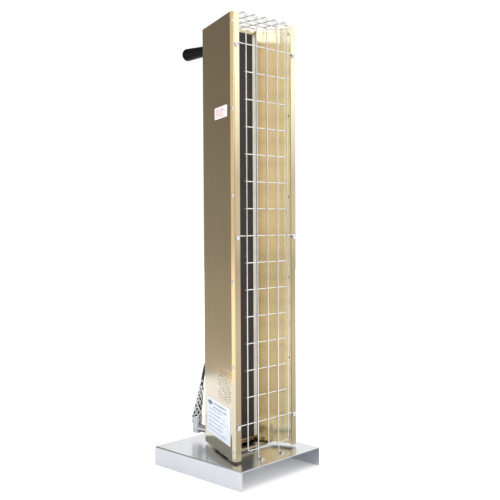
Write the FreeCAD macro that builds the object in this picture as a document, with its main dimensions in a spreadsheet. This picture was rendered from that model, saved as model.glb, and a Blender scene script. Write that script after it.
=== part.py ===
"""Free-standing infrared heater: gold sheet-metal column with a flat emitter, on a channel base.

Frame: millimetres, +Z up, front towards -Y. The origin is on the floor, at the centre of the
overall footprint (base front edge to handle end).
"""
import FreeCAD, Part
import math
import os

import Sketcher

Vector = FreeCAD.Vector

SIZES = {
    # base channel
    "base_width": 311, "base_depth": 344, "base_height": 52, "base_sheet": 2, "base_bend": 2,
    # column housing
    "housing_setback": 55, "housing_length": 1168, "front_width": 241, "back_width": 69,
    "housing_depth": 211, "strip_depth": 14, "flange_width": 20, "shell_sheet": 1.2,
    "shell_bend": 1.2, "spacer_height": 6, "spacer_radius": 9,
    # emitter stack, from its front face towards the back
    "emitter_width": 96, "emitter_recess": 95, "emitter_end_margin": 20, "emitter_sheet": 2.5,
    "element_gap": 0.5, "element_sheet": 1, "element_strip": 9, "element_pitch": 20,
    "board_width": 130, "board_thickness": 16, "pan_sheet": 1, "rail_height": 11,
    "reflector_sheet": 0.8, "reflector_rise": 2,
    "fit_gap": 0.3, "corner_gap": 0.6,
    # end plates and brackets
    "plate_sheet": 1.5, "plate_setback": 62, "plate_lip": 4, "lip_inset": 4, "lower_screw_height": 24,
    "hanger_height": 40, "hanger_width": 40, "hanger_foot": 11, "hanger_sheet": 1.5,
    "hanger_margin": 142,
    # wire guard
    "wire": 3.2, "weld": 0.3, "guard_pitch_x": 40, "guard_pitch_z": 71.2, "guard_bottom": 21.7,
    "guard_bend": 8, "top_pitch": 30, "top_first": 15, "top_side_gap": 12, "eye_radius": 5,
    "foot_eye_depth": 36,
    # screws and bolts
    "small_screw": 2, "small_head": 4.5, "small_head_height": 2.4, "bolt": 3, "bolt_head": 5.5,
    "bolt_head_height": 4, "nut_height": 5, "bolt_tail": 1.5, "hole_gap": 0.25, "small_nut": 3.5,
    "small_nut_height": 3, "side_screw_length": 8, "foot_screw_length": 12,
    "bolt_front_x": 40, "bolt_front_setback": 82, "bolt_back_x": 18, "bolt_back_setback": 180,
    # handle
    "handle_reach": 112, "handle_drop": 51, "handle_root": 13.5, "handle_end": 18.5,
    "handle_round": 12, "stud": 4, "stud_grip": 60, "stud_tail": 3, "washer": 11,
    "washer_thickness": 1.5, "handle_nut": 6.5, "handle_nut_height": 6,
    "brace_width": 56, "brace_height": 56, "brace_sheet": 2,
    # cord fitting on the back
    "fitting_x": 17.5, "fitting_throw": 52, "fitting_clear": 20, "fitting_height": 29,
    "fitting_radius": 14, "leg_radius": 11, "leg_rise": 14, "nipple_radius": 10, "nipple_end": 6,
    "bore": 6, "entry_bore": 5.4, "grip_nut_radius": 16, "grip_nut_height": 20, "locknut": 14, "locknut_height": 4,
    "grip_rise": 88, "grip_root": 14.5, "grip_tip": 6.8, "grip_wall": 1.2, "grip_shift_x": 11.8,
    "grip_shift_y": 7.8, "band_radius": 6.5, "band_height": 6,
    "cord": 8.6, "lead": 2.6,
    # put-away coil, its tie, and the plug
    "coil_outer": 62.5, "coil_inner": 40.75, "coil_lift": 1.2, "coil_round": 3.5,
    "tie_gap": 0.2, "tie_side_gap": 0.8, "tie_strap": 1, "tie_width": 12,
    "plug_radius": 13, "plug_relief": 20, "plug_barrel": 30, "relief_root": 10, "relief_lip": 1,
    "blade_length": 17, "blade_sheet": 1.5, "blade_width": 6.4, "blade_pitch": 12.7,
    "blade_drop": 2.8, "pin_radius": 2.4, "pin_length": 20, "pin_rise": 6,
    # terminal block and element terminals
    "block_width": 52, "block_depth": 13, "block_height": 20, "block_rise": 72,
    "terminal_rise": 22, "terminal_stud": 2, "bushing": 5, "bushing_out": 10, "stud_out": 17,
    # tip-over switch under the base top
    "switch_width": 22, "switch_depth": 32, "switch_height": 24, "switch_setback": 119,
    "switch_screw_pitch": 22, "plunger": 2.5, "plunger_gap": 0.05, "plunger_top": 6,
    "bore_top": 4, "foot_radius": 7, "foot_height": 4, "floor_gap": 0.2,
    "spring_radius": 4.4, "spring_wire": 0.8, "spring_turns": 6, "wire_hole": 7,
    "wire_hole_setback": 167,
    # labels
    "label_sheet": 0.25, "upper_label_width": 94, "upper_label_height": 31, "upper_label_z": 977,
    "upper_label_setback": 23, "lower_label_width": 182, "lower_label_height": 101,
    "lower_label_z": 143, "lower_label_setback": 12,
}

doc = FreeCAD.newDocument("heater")
sizes = doc.addObject("Spreadsheet::Sheet", "sizes")
for row, (alias, value) in enumerate(SIZES.items(), start=1):
    sizes.set(f"A{row}", alias.replace("_", " "))
    sizes.set(f"B{row}", str(value))
    sizes.setAlias(f"B{row}", alias)
doc.recompute()

parts = []


def s(expression):
    """An expression with every size name written as a cell of the sheet."""
    words = sorted(SIZES, key=len, reverse=True)
    out, i = "", 0
    text = str(expression)
    while i < len(text):
        hit = next((w for w in words if text.startswith(w, i)), None)
        before = text[i - 1] if i else " "
        after = text[i + len(hit)] if hit and i + len(hit) < len(text) else " "
        if hit and not (before.isalnum() or before in "_.") and not (after.isalnum() or after == "_"):
            out += "sizes." + hit
            i += len(hit)
        else:
            out += text[i]
            i += 1
    return out


def number(expression):
    """The value of an expression, in millimetres or degrees."""
    result = sizes.evalExpression(s(expression))
    return float(getattr(result, "Value", result))


def bind(obj, **properties):
    """Binds properties to expressions; a name with two underscores is a path with dots."""
    for path, expression in properties.items():
        obj.setExpression(path.replace("__", "."), s(expression))


def place(obj, x=0, y=0, z=0):
    """Binds an object's place."""
    bind(obj, Placement__Base__x=x, Placement__Base__y=y, Placement__Base__z=z)
    return obj


def keep(obj, label):
    """Marks an object as a finished sub-part with its own label."""
    obj.Label = label
    parts.append(obj)
    return obj


# Lines that other pieces take their place from.
FRONT = "(-(housing_setback + housing_depth + handle_reach) / 2)"
FACE = f"({FRONT} + housing_setback)"
BACK = f"({FACE} + housing_depth)"
BACK_IN = f"({BACK} - shell_sheet)"
FLOOR_OF_BOX = "(base_height + spacer_height)"
TOP = f"({FLOOR_OF_BOX} + housing_length)"
SLOPE = "((front_width - back_width) / 2 / (housing_depth - strip_depth))"
EMITTER_Y = f"({FACE} + emitter_recess)"
EMITTER_Z = f"({FLOOR_OF_BOX} + emitter_end_margin)"
EMITTER_LENGTH = "(housing_length - 2 * emitter_end_margin)"
ELEMENT_Y = f"({EMITTER_Y} + emitter_sheet + element_gap)"
BOARD_Y = f"({ELEMENT_Y} + element_sheet + element_gap)"
PAN_Y = f"({BOARD_Y} + board_thickness)"
HANGER_Y = f"({PAN_Y} + pan_sheet)"


def wall_x(depth):
    """Half the width between the side panels' inner faces at a depth behind the front plane."""
    return (f"(front_width / 2 - ({depth} - strip_depth) * {SLOPE}"
            f" - shell_sheet * sqrt(1 + {SLOPE} * {SLOPE}))")


# ---------------------------------------------------------------- building blocks


def new_body(name):
    return doc.addObject("PartDesign::Body", name)


def plane_of(body, role):
    return next(o for o in body.Origin.OriginFeatures if o.Role == role)


def new_sketch(body, role, offset=None):
    """An empty sketch on one of the body's origin planes, moved along its normal."""
    sketch = body.newObject("Sketcher::SketchObject", body.Name + "_sketch")
    sketch.AttachmentSupport = (plane_of(body, role), "")
    sketch.MapMode = "FlatFace"
    if offset is not None:
        sketch.setExpression("AttachmentOffset.Base.z", s(offset))
    return sketch


def fix_point(sketch, line, end, x, y):
    """Ties one end of a line to two expressions, measured from the sketch's origin."""
    for kind, axis, expression in (("DistanceX", -2, x), ("DistanceY", -1, y)):
        value = number(expression)
        if abs(value) < 1e-9:
            sketch.addConstraint(Sketcher.Constraint("PointOnObject", line, end, axis))
        else:
            index = sketch.addConstraint(Sketcher.Constraint(kind, -1, 1, line, end, value))
            sketch.setExpression(f"Constraints[{index}]", s(expression))


def draw_outline(sketch, points):
    """A closed outline whose corners are pairs of expressions."""
    xy = [Vector(number(x), number(y), 0) for x, y in points]
    lines = [sketch.addGeometry(Part.LineSegment(a, b)) for a, b in zip(xy, xy[1:] + xy[:1])]
    for a, b in zip(lines, lines[1:] + lines[:1]):
        sketch.addConstraint(Sketcher.Constraint("Coincident", a, 2, b, 1))
    for line, (x, y) in zip(lines, points):
        fix_point(sketch, line, 1, x, y)


def draw_circle(sketch, x, y, radius):
    """A circle with its centre and radius given by expressions."""
    centre = Vector(number(x), number(y), 0)
    circle = sketch.addGeometry(Part.Circle(centre, Vector(0, 0, 1), number(radius)))
    fix_point(sketch, circle, 3, x, y)
    index = sketch.addConstraint(Sketcher.Constraint("Radius", circle, number(radius)))
    sketch.setExpression(f"Constraints[{index}]", s(radius))


def draw_strip(sketch, points, sheet, side):
    """The section of a bent strip: its outer corners, and the inner ones a sheet away.

    side is 1 where the inner face lies left of the direction in which the corners run.
    """
    xy = [Vector(number(x), number(y), 0) for x, y in points]
    runs = [(b - a).normalize() for a, b in zip(xy, xy[1:])]
    normals = [Vector(-r.y, r.x, 0) * side for r in runs]
    inner = []
    for i, corner in enumerate(xy):
        near = [normals[j] for j in (i - 1, i) if 0 <= j < len(normals)]
        middle = near[0] + near[-1]
        middle.normalize()
        inner.append(corner + middle * (number(sheet) / middle.dot(near[0])))
    outer_lines = [sketch.addGeometry(Part.LineSegment(a, b)) for a, b in zip(xy, xy[1:])]
    end_cap = sketch.addGeometry(Part.LineSegment(xy[-1], inner[-1]))
    back = inner[::-1]
    inner_lines = [sketch.addGeometry(Part.LineSegment(a, b)) for a, b in zip(back, back[1:])]
    start_cap = sketch.addGeometry(Part.LineSegment(inner[0], xy[0]))
    loop = outer_lines + [end_cap] + inner_lines + [start_cap]
    for a, b in zip(loop, loop[1:] + loop[:1]):
        sketch.addConstraint(Sketcher.Constraint("Coincident", a, 2, b, 1))
    for i, line in enumerate(outer_lines):
        fix_point(sketch, line, 1, *points[i])
    fix_point(sketch, outer_lines[-1], 2, *points[-1])
    for outer, near_line in zip(outer_lines, inner_lines[::-1]):
        sketch.addConstraint(Sketcher.Constraint("Parallel", outer, near_line))
        index = sketch.addConstraint(
            Sketcher.Constraint("Distance", near_line, 1, outer, number(sheet)))
        sketch.setExpression(f"Constraints[{index}]", s(sheet))
    sketch.addConstraint(Sketcher.Constraint("Perpendicular", end_cap, outer_lines[-1]))
    sketch.addConstraint(Sketcher.Constraint("Perpendicular", start_cap, outer_lines[0]))
    return xy, inner, runs, side


def pad(body, sketch, length, reverse=False):
    feature = body.newObject("PartDesign::Pad", body.Name + "_pad")
    feature.Profile = sketch
    feature.setExpression("Length", s(length))
    feature.Reversed = reverse
    body.Tip = feature
    return feature


def pocket(body, sketch, length, reverse=False):
    feature = body.newObject("PartDesign::Pocket", body.Name + "_pocket")
    feature.Profile = sketch
    feature.setExpression("Length", s(length))
    feature.Reversed = reverse
    body.Tip = feature
    return feature


def round_edges(body, along, corners, radius):
    """Rounds the sheet's long edges that start from these corners of its section."""
    doc.recompute()
    solid = body.Tip
    names = [f"Edge{i}" for i, edge in enumerate(solid.Shape.Edges, start=1)
             if abs((edge.lastVertex().Point - edge.firstVertex().Point).normalize() * along) > 0.99
             and any(edge.distToShape(Part.Vertex(c))[0] < 1e-4 for c in corners)]
    fillet = body.newObject("PartDesign::Fillet", body.Name + "_fillet")
    fillet.Base = (solid, names)
    fillet.setExpression("Radius", s(radius))
    body.Tip = fillet


def bent_sheet(name, role, points, sheet, side, length, bend=None, reverse=False):
    """A sheet bent along the corners and as long as length, with round bends if bend is given."""
    body = new_body(name)
    sketch = new_sketch(body, role)
    xy, inner, runs, side = draw_strip(sketch, points, sheet, side)
    pad(body, sketch, length, reverse)
    if bend is None:
        return body
    to_world, along = {
        "XY_Plane": (lambda p: Vector(p.x, p.y, 0), Vector(0, 0, 1)),
        "XZ_Plane": (lambda p: Vector(p.x, 0, p.y), Vector(0, 1, 0)),
        "YZ_Plane": (lambda p: Vector(0, p.x, p.y), Vector(1, 0, 0))}[role]
    convex, concave = [], []
    for i in range(1, len(xy) - 1):
        turn = (runs[i - 1].x * runs[i].y - runs[i - 1].y * runs[i].x) * side
        convex.append(to_world(xy[i] if turn > 0 else inner[i]))
        concave.append(to_world(inner[i] if turn > 0 else xy[i]))
    round_edges(body, along, convex, f"{bend} + {sheet}")
    round_edges(body, along, concave, bend)
    return body


def plate(name, points, thickness, holes=()):
    """A flat plate in the XY plane with round holes (x, y, radius)."""
    body = new_body(name)
    sketch = new_sketch(body, "XY_Plane")
    draw_outline(sketch, points)
    pad(body, sketch, thickness)
    if holes:
        cut = new_sketch(body, "XY_Plane")
        for hole in holes:
            draw_circle(cut, *hole)
        pocket(body, cut, thickness, reverse=True)
    return body


def box(name, width, depth, height, x, y, z):
    """A box centred on x, with its front face at y and its bottom at z."""
    obj = doc.addObject("Part::Box", name)
    bind(obj, Length=width, Width=depth, Height=height)
    return place(obj, f"{x} - ({width}) / 2", y, z)


AXES = {"x": (Vector(0, 1, 0), 90), "y": (Vector(1, 0, 0), -90), "z": (Vector(0, 0, 1), 0)}


def rod(name, radius, length, x, y, z, axis="z"):
    """A round bar that starts at a point and runs along +X, +Y or +Z."""
    obj = doc.addObject("Part::Cylinder", name)
    bind(obj, Radius=radius, Height=length)
    obj.Placement.Rotation = FreeCAD.Rotation(*AXES[axis])
    return place(obj, x, y, z)


def hexagon(name, apothem, height, x, y, z, axis="z"):
    """A hexagonal prism, measured to its flats, that runs along +X, +Y or +Z."""
    obj = doc.addObject("Part::Prism", name)
    obj.Polygon = 6
    bind(obj, Circumradius=f"({apothem}) / cos(30)", Height=height)
    obj.Placement.Rotation = FreeCAD.Rotation(*AXES[axis])
    return place(obj, x, y, z)


def join(name, shapes):
    """One solid, or several that stay apart, from overlapping pieces."""
    obj = doc.addObject("Part::MultiFuse", name)
    obj.Shapes = shapes
    return obj


def group(name, shapes):
    """Separate solids that share a node."""
    obj = doc.addObject("Part::Compound", name)
    obj.Links = shapes
    return obj


def cut(name, base, tool):
    obj = doc.addObject("Part::Cut", name)
    obj.Base, obj.Tool = base, tool
    return obj


def screw(name, x, y, z, axis, shank, inwards, head=None, head_height=None):
    """A round-head screw whose head sits on the point and whose shank runs inwards (+1 or -1)."""
    head, head_height = head or "small_head", head_height or "small_head_height"
    at = {"x": x, "y": y, "z": z}
    head_at = dict(at)
    shank_at = dict(at)
    head_at[axis] = f"{at[axis]} - {head_height}" if inwards > 0 else at[axis]
    shank_at[axis] = at[axis] if inwards > 0 else f"{at[axis]} - {shank}"
    return join(name, [
        rod(name + "_head", head, head_height, **head_at, axis=axis),
        rod(name + "_shank", "small_screw", shank, **shank_at, axis=axis)])


def tube_along(label, points, diameter):
    """A round tube along straight runs joined by tangent arcs, as large as the runs allow."""
    pts = [Vector(*p) for p in points]
    edges, start, radii = [], pts[0], []
    for a, b, c in zip(pts, pts[1:], pts[2:]):
        before, after = (b - a), (c - b)
        half = before.getAngle(after) / 2
        cut_back = 0.45 * min(before.Length, after.Length)
        radii.append(cut_back / math.tan(half))
        enter = b - before.normalize() * cut_back
        leave = b + after.normalize() * cut_back
        to_middle = (enter + leave) * 0.5 - b
        to_centre = to_middle.normalize() * (radii[-1] / math.cos(half))
        middle = b + to_centre - to_middle.normalize() * radii[-1]
        edges.append(Part.LineSegment(start, enter).toShape())
        edges.append(Part.Arc(enter, middle, leave).toShape())
        start = leave
    edges.append(Part.LineSegment(start, pts[-1]).toShape())
    path = Part.Wire(edges)
    ring = Part.Circle(pts[0], pts[1] - pts[0], diameter / 2).toShape()
    solid = path.makePipeShell([Part.Wire([ring])], True, False)
    expected = path.Length * math.pi * diameter ** 2 / 4
    if abs(solid.Volume - expected) > 0.01 * expected:
        raise ValueError(f"{label}: the tube's volume is {solid.Volume:.0f}, not {expected:.0f}")
    if radii:
        print(label, "length", round(path.Length), "radii", [round(r, 1) for r in radii])
    return solid


def feature(label, shape):
    obj = doc.addObject("Part::Feature", label)
    obj.Shape = shape
    obj.Placement = FreeCAD.Placement()
    return keep(obj, label)


# ---------------------------------------------------------------- base channel

BASE_HOLE = "bolt + hole_gap"
SMALL_HOLE = "small_screw + hole_gap"
SWITCH_Y = f"({FACE} + switch_setback)"
BOLT_SPOTS = [(f"{side} * {x}", f"{FACE} + {setback}")
              for x, setback in (("bolt_front_x", "bolt_front_setback"),
                                 ("bolt_back_x", "bolt_back_setback"))
              for side in (-1, 1)]
FOOT_SPOTS = [(f"{side} * guard_pitch_x", f"{FRONT} + foot_eye_depth") for side in (-1, 1)]
SWITCH_SPOTS = [("0", f"{SWITCH_Y} + {side} * switch_screw_pitch / 2") for side in (-1, 1)]
WIRE_HOLE = ("0", f"{FACE} + wire_hole_setback")


def base_channel():
    """An inverted channel, open at the front and back, that stands on its two side walls."""
    half, up = "base_width / 2", "base_height"
    body = bent_sheet("base_channel", "XZ_Plane",
                      [(f"-{half}", "0"), (f"-{half}", up), (half, up), (half, "0")],
                      "base_sheet", -1, "base_depth", "base_bend", reverse=True)
    holes = new_sketch(body, "XY_Plane", "base_height")
    for x, y in BOLT_SPOTS:
        draw_circle(holes, x, f"{y} - {FRONT}", BASE_HOLE)
    for x, y in FOOT_SPOTS + SWITCH_SPOTS:
        draw_circle(holes, x, f"{y} - {FRONT}", SMALL_HOLE)
    draw_circle(holes, WIRE_HOLE[0], f"{WIRE_HOLE[1]} - {FRONT}", "wire_hole")
    pocket(body, holes, "base_sheet")
    keep(place(body, 0, FRONT, 0), "base_channel")


def bored_hexagon(name, apothem, bore_radius, height, x, y, z, axis="z"):
    """A nut."""
    return cut(name, hexagon(name + "_hex", apothem, height, x, y, z, axis),
               rod(name + "_bore", bore_radius, height, x, y, z, axis))


def washer(name, radius, bore_radius, height, x, y, z, axis="z"):
    """A flat ring or sleeve."""
    return cut(name, rod(name + "_disc", radius, height, x, y, z, axis),
               rod(name + "_bore", bore_radius, height, x, y, z, axis))


def base_fasteners():
    """The bolts, sleeves and nuts that hold the column a little above the base."""
    bolts, sleeves, nuts = [], [], []
    reach = "(plate_sheet + spacer_height + base_sheet + nut_height + bolt_tail)"
    for i, (x, y) in enumerate(BOLT_SPOTS):
        seat = f"({FLOOR_OF_BOX} + plate_sheet)"
        bolts.append(join(f"bolt_{i}", [
            hexagon(f"bolt_head_{i}", "bolt_head", "bolt_head_height", x, y, seat),
            rod(f"bolt_shank_{i}", "bolt", reach, x, y, f"{seat} - {reach}")]))
        sleeves.append(washer(f"sleeve_{i}", "spacer_radius", BASE_HOLE, "spacer_height",
                              x, y, "base_height"))
        nuts.append(bored_hexagon(f"nut_{i}", "bolt_head", "bolt", "nut_height", x, y,
                                  "base_height - base_sheet - nut_height"))
    keep(group("base_bolts", bolts), "base_bolts")
    keep(group("base_spacers", sleeves), "base_spacers")
    keep(group("base_nuts", nuts), "base_nuts")


# ---------------------------------------------------------------- column housing

HALF_OPENING = "(front_width / 2 - flange_width)"
CLIP_REACH = "(front_width / 2 - flange_width / 2)"
CLIP_ROWS = (1, 8, 15)
GUARD_Z = f"({FLOOR_OF_BOX} + guard_bottom)"
HANDLE_Z = f"({TOP} - handle_drop)"
LEG_Z = "(base_height + fitting_clear + leg_rise)"
FITTING_Y = f"({BACK} + fitting_throw)"
HANGER_LEVELS = {"lower": f"{EMITTER_Z} + hanger_margin",
                 "middle": f"{EMITTER_Z} + {EMITTER_LENGTH} / 2",
                 "upper": f"{EMITTER_Z} + {EMITTER_LENGTH} - hanger_margin"}
HANGER_SCREW_X = "(hanger_width + hanger_foot) / 2"
SIDE_SCREW_LEVELS = [
    f"{FLOOR_OF_BOX} + lower_screw_height + {i} * (housing_length - 2 * lower_screw_height) / 5"
    for i in range(6)]
SIDE_SCREW_Y = f"{FACE} + strip_depth / 2"


def guard_level(row):
    return f"({GUARD_Z} + {row} * guard_pitch_z)"


CLIP_SPOTS = [(f"{side} * {CLIP_REACH}", f"{guard_level(row)} - eye_radius - weld")
              for row in CLIP_ROWS for side in (-1, 1)]
HANGER_SPOTS = [(f"{side} * {HANGER_SCREW_X}", level)
                for level in HANGER_LEVELS.values() for side in (-1, 1)]


def side_holes(name):
    """Cutters for the six screws in each side strip."""
    return [rod(f"{name}_side_{side}_{i}", SMALL_HOLE, "4 * flange_width", x, SIDE_SCREW_Y, z, "x")
            for side, x in (("left", "-front_width / 2 - flange_width"),
                            ("right", "front_width / 2 - 3 * flange_width"))
            for i, z in enumerate(SIDE_SCREW_LEVELS)]


def clip_holes(name):
    """Cutters for the guard's screws in the front flanges."""
    return [rod(f"{name}_clip_{i}", SMALL_HOLE, "strip_depth", x, f"{FACE} - strip_depth / 2", z,
                "y")
            for i, (x, z) in enumerate(CLIP_SPOTS)]


def housing_shell():
    """The folded column: front flanges, side strips, slanted side panels and back panel."""
    half, rear, edge = "front_width / 2", "back_width / 2", "(front_width / 2 - flange_width)"
    points = [(f"-{edge}", FACE), (f"-{half}", FACE), (f"-{half}", f"{FACE} + strip_depth"),
              (f"-{rear}", BACK), (rear, BACK), (half, f"{FACE} + strip_depth"), (half, FACE),
              (edge, FACE)]
    body = bent_sheet("housing_sheet", "XY_Plane", points, "shell_sheet", -1, "housing_length",
                      "shell_bend")
    place(body, 0, 0, FLOOR_OF_BOX)
    cutters = side_holes("shell") + clip_holes("shell")
    through, inside = "3 * shell_sheet", f"{BACK_IN} - shell_sheet"
    cutters += [rod(f"shell_rear_{i}", SMALL_HOLE, through, x, inside, z, "y")
                for i, (x, z) in enumerate(HANGER_SPOTS)]
    cutters.append(rod("shell_stud", "stud + hole_gap", through, 0, inside, HANDLE_Z, "y"))
    cutters.append(rod("shell_nipple", "nipple_radius + hole_gap", through, "-fitting_x", inside,
                       LEG_Z, "y"))
    keep(cut("housing_shell", body, group("shell_cutters", cutters)), "housing_shell")


def reflector(side, name):
    """A faceted mirror from the emitter's edge to the front flange, with lips at both ends."""
    rear = "(board_width / 2 + 2 * fit_gap + pan_sheet)"
    rise = f"({HALF_OPENING} - {rear}) / 3"
    lip_y = f"{FACE} + shell_sheet + fit_gap"
    edge = "(front_width / 2 - shell_sheet - corner_gap)"
    corners = [(rear, f"{EMITTER_Y} + board_thickness"), (rear, EMITTER_Y),
               (f"{rear} + {rise} + reflector_rise", f"{FACE} + emitter_recess * 2 / 3"),
               (f"{rear} + 2 * {rise} + reflector_rise", f"{FACE} + emitter_recess / 3"),
               (HALF_OPENING, lip_y), (edge, lip_y), (edge, f"{FACE} + strip_depth - 1")]
    points = [(x if side > 0 else f"-({x})", y) for x, y in corners]
    body = bent_sheet(name + "_sheet", "XY_Plane", points, "reflector_sheet", side,
                      "housing_length - 2 * (plate_lip + fit_gap)")
    place(body, 0, 0, f"{FLOOR_OF_BOX} + plate_lip + fit_gap")
    keep(cut(name, body, group(name + "_cutters", side_holes(name) + clip_holes(name))), name)


def end_plates():
    """The gold floor of the column, and the plate that closes the space behind the emitter."""
    corners = []
    for setback in ("plate_setback", "(housing_depth - shell_sheet)"):
        corners.append((f"{wall_x(setback)} - fit_gap", f"{FACE} + {setback}"))
    points = [corners[0], corners[1], (f"-({corners[1][0]})", corners[1][1]),
              (f"-({corners[0][0]})", corners[0][1])]
    holes = [(x, y, BASE_HOLE) for x, y in BOLT_SPOTS] + [(*WIRE_HOLE, "wire_hole")]
    body = plate("lower_plate_sheet", points, "plate_sheet", holes)
    place(body, 0, 0, FLOOR_OF_BOX)
    lip = box("lower_plate_lip", f"2 * ({wall_x('plate_setback')} - lip_inset)", "plate_sheet", "plate_lip",
              0, f"{FACE} + plate_setback", FLOOR_OF_BOX)
    keep(join("lower_end_plate", [body, lip]), "lower_end_plate")
    setback = f"({HANGER_Y} - {FACE})"
    front, back = (f"{wall_x(setback)} - fit_gap", HANGER_Y), corners[1]
    body = plate("upper_end_plate", [front, back, (f"-({back[0]})", back[1]),
                                     (f"-({front[0]})", front[1])], "plate_sheet")
    keep(place(body, 0, 0, f"{TOP} - emitter_end_margin - plate_sheet"), "upper_end_plate")


def housing_screws():
    """Screws in the side strips and in the back panel."""
    sides = []
    for i, z in enumerate(SIDE_SCREW_LEVELS):
        sides.append(screw(f"side_left_{i}", "-front_width / 2", SIDE_SCREW_Y, z, "x",
                           "side_screw_length", 1))
        sides.append(screw(f"side_right_{i}", "front_width / 2", SIDE_SCREW_Y, z, "x",
                           "side_screw_length", -1))
    keep(group("side_screws", sides), "side_screws")
    rear = [screw(f"rear_{i}", x, BACK, z, "y", "side_screw_length", -1)
            for i, (x, z) in enumerate(HANGER_SPOTS)]
    keep(group("rear_screws", rear), "rear_screws")


# ---------------------------------------------------------------- emitter stack

TERMINAL_Z = f"({EMITTER_Z} + terminal_rise)"
TERMINAL_X = "(element_pitch * 3 / 2)"


def terminal_cutters(name):
    return group(name + "_cutters", [
        rod(f"{name}_cut_{side}", "bushing + fit_gap", "2 * board_thickness + 20",
            f"{side} * {TERMINAL_X}", f"{BOARD_Y} - 10", TERMINAL_Z, "y") for side in (-1, 1)])


def emitter_stack():
    """Face panel, flat element, insulation board and the pan that holds them."""
    keep(box("emitter_panel", "emitter_width", "emitter_sheet", EMITTER_LENGTH, 0, EMITTER_Y,
             EMITTER_Z), "emitter_panel")
    pieces, end = [], "element_pitch / 2"
    for i in range(4):
        pieces.append(box(f"element_run_{i}", "element_strip", "element_sheet",
                          f"{EMITTER_LENGTH} - 2 * {end}", f"({i} - 1.5) * element_pitch",
                          ELEMENT_Y, f"{EMITTER_Z} + {end}"))
    for i in range(3):
        level = f"{EMITTER_Z} + {end}"
        if i != 1:
            level = f"{EMITTER_Z} + {EMITTER_LENGTH} - {end} - element_strip"
        pieces.append(box(f"element_link_{i}", "element_pitch", "element_sheet", "element_strip",
                          f"({i} - 1) * element_pitch", ELEMENT_Y, level))
    keep(join("heating_element", pieces), "heating_element")
    board = box("board_block", "board_width", "board_thickness", EMITTER_LENGTH, 0, BOARD_Y,
                EMITTER_Z)
    keep(cut("insulation_board", board, terminal_cutters("board")), "insulation_board")
    half = "(board_width / 2 + fit_gap + pan_sheet)"
    pan = bent_sheet("pan_sheet_metal", "XY_Plane",
                     [(f"-{half}", BOARD_Y), (f"-{half}", HANGER_Y), (half, HANGER_Y),
                      (half, BOARD_Y)], "pan_sheet", -1, EMITTER_LENGTH)
    place(pan, 0, 0, EMITTER_Z)
    keep(cut("emitter_pan", pan, terminal_cutters("pan")), "emitter_pan")
    for name, level, way in (("lower_emitter_rail", EMITTER_Z, -1),
                             ("upper_emitter_rail", f"({EMITTER_Z} + {EMITTER_LENGTH})", 1)):
        rail = bent_sheet(name, "YZ_Plane",
                          [(HANGER_Y, level), (EMITTER_Y, level),
                           (EMITTER_Y, f"{level} + {way} * rail_height")],
                          "shell_sheet", -way, "board_width", "shell_bend")
        keep(place(rail, "-board_width / 2", 0, 0), name)


def terminals():
    """Ceramic bushings and studs that bring the element's ends out through the back."""
    bushings, studs = [], []
    for side in (-1, 1):
        spot = (f"{side} * {TERMINAL_X}", BOARD_Y, TERMINAL_Z, "y")
        bushings.append(washer(f"bushing_{side + 1}", "bushing", "terminal_stud",
                               "board_thickness + pan_sheet + bushing_out", *spot))
        studs.append(rod(f"terminal_{side + 1}", "terminal_stud",
                         "element_gap + board_thickness + pan_sheet + stud_out",
                         f"{side} * {TERMINAL_X}", f"{BOARD_Y} - element_gap", TERMINAL_Z, "y"))
    keep(group("ceramic_bushings", bushings), "ceramic_bushings")
    keep(group("element_terminals", studs), "element_terminals")


def hangers():
    """Hat-shaped brackets between the emitter's pan and the back panel."""
    half, foot = "hanger_width / 2", "(hanger_width / 2 + hanger_foot)"
    web = f"{HANGER_Y} + hanger_sheet"
    for name, level in HANGER_LEVELS.items():
        body = bent_sheet(f"{name}_hanger_sheet", "XY_Plane",
                          [(f"-{foot}", BACK_IN), (f"-{half}", BACK_IN), (f"-{half}", web),
                           (half, web), (half, BACK_IN), (foot, BACK_IN)],
                          "hanger_sheet", -1, "hanger_height")
        place(body, 0, 0, f"{level} - hanger_height / 2")
        holes = [rod(f"{name}_hanger_hole_{side + 1}", SMALL_HOLE, "3 * hanger_sheet",
                     f"{side} * {HANGER_SCREW_X}", f"{BACK_IN} - 2 * hanger_sheet", level, "y")
                 for side in (-1, 1)]
        keep(cut(f"{name}_hanger", body, group(f"{name}_hanger_holes", holes)), f"{name}_hanger")


# ---------------------------------------------------------------- wire guard

WIRE_Y = f"({FACE} - wire / 2)"
UPRIGHT_Y = f"({FACE} - wire / 2 - wire + weld)"
TOP_CROSS_Z = f"({TOP} + wire / 2)"
TOP_LONG_Z = f"({TOP} + wire / 2 + wire - weld)"
FOOT_Z = "(base_height + wire / 2)"
UPRIGHTS = (-2, -1, 0, 1, 2)
TOP_ROWS = 5


def quarter(name, x, y, z, start, finish):
    """A quarter turn of guard wire about a centre, from one direction to another."""
    obj = doc.addObject("Part::Torus", name)
    bind(obj, Radius1="guard_bend", Radius2="wire / 2", Angle3=90)
    obj.Placement.Rotation = FreeCAD.Rotation(start, finish, start.cross(finish), "XYZ")
    return place(obj, x, y, z)


def eye(name, x, y, z, axis):
    """A ring of guard wire round a screw."""
    obj = doc.addObject("Part::Torus", name)
    bind(obj, Radius1="eye_radius", Radius2="wire / 2")
    obj.Placement.Rotation = FreeCAD.Rotation(*AXES[axis])
    return place(obj, x, y, z)


def top_setback(row):
    return f"(top_first + {row} * top_pitch)"


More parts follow.
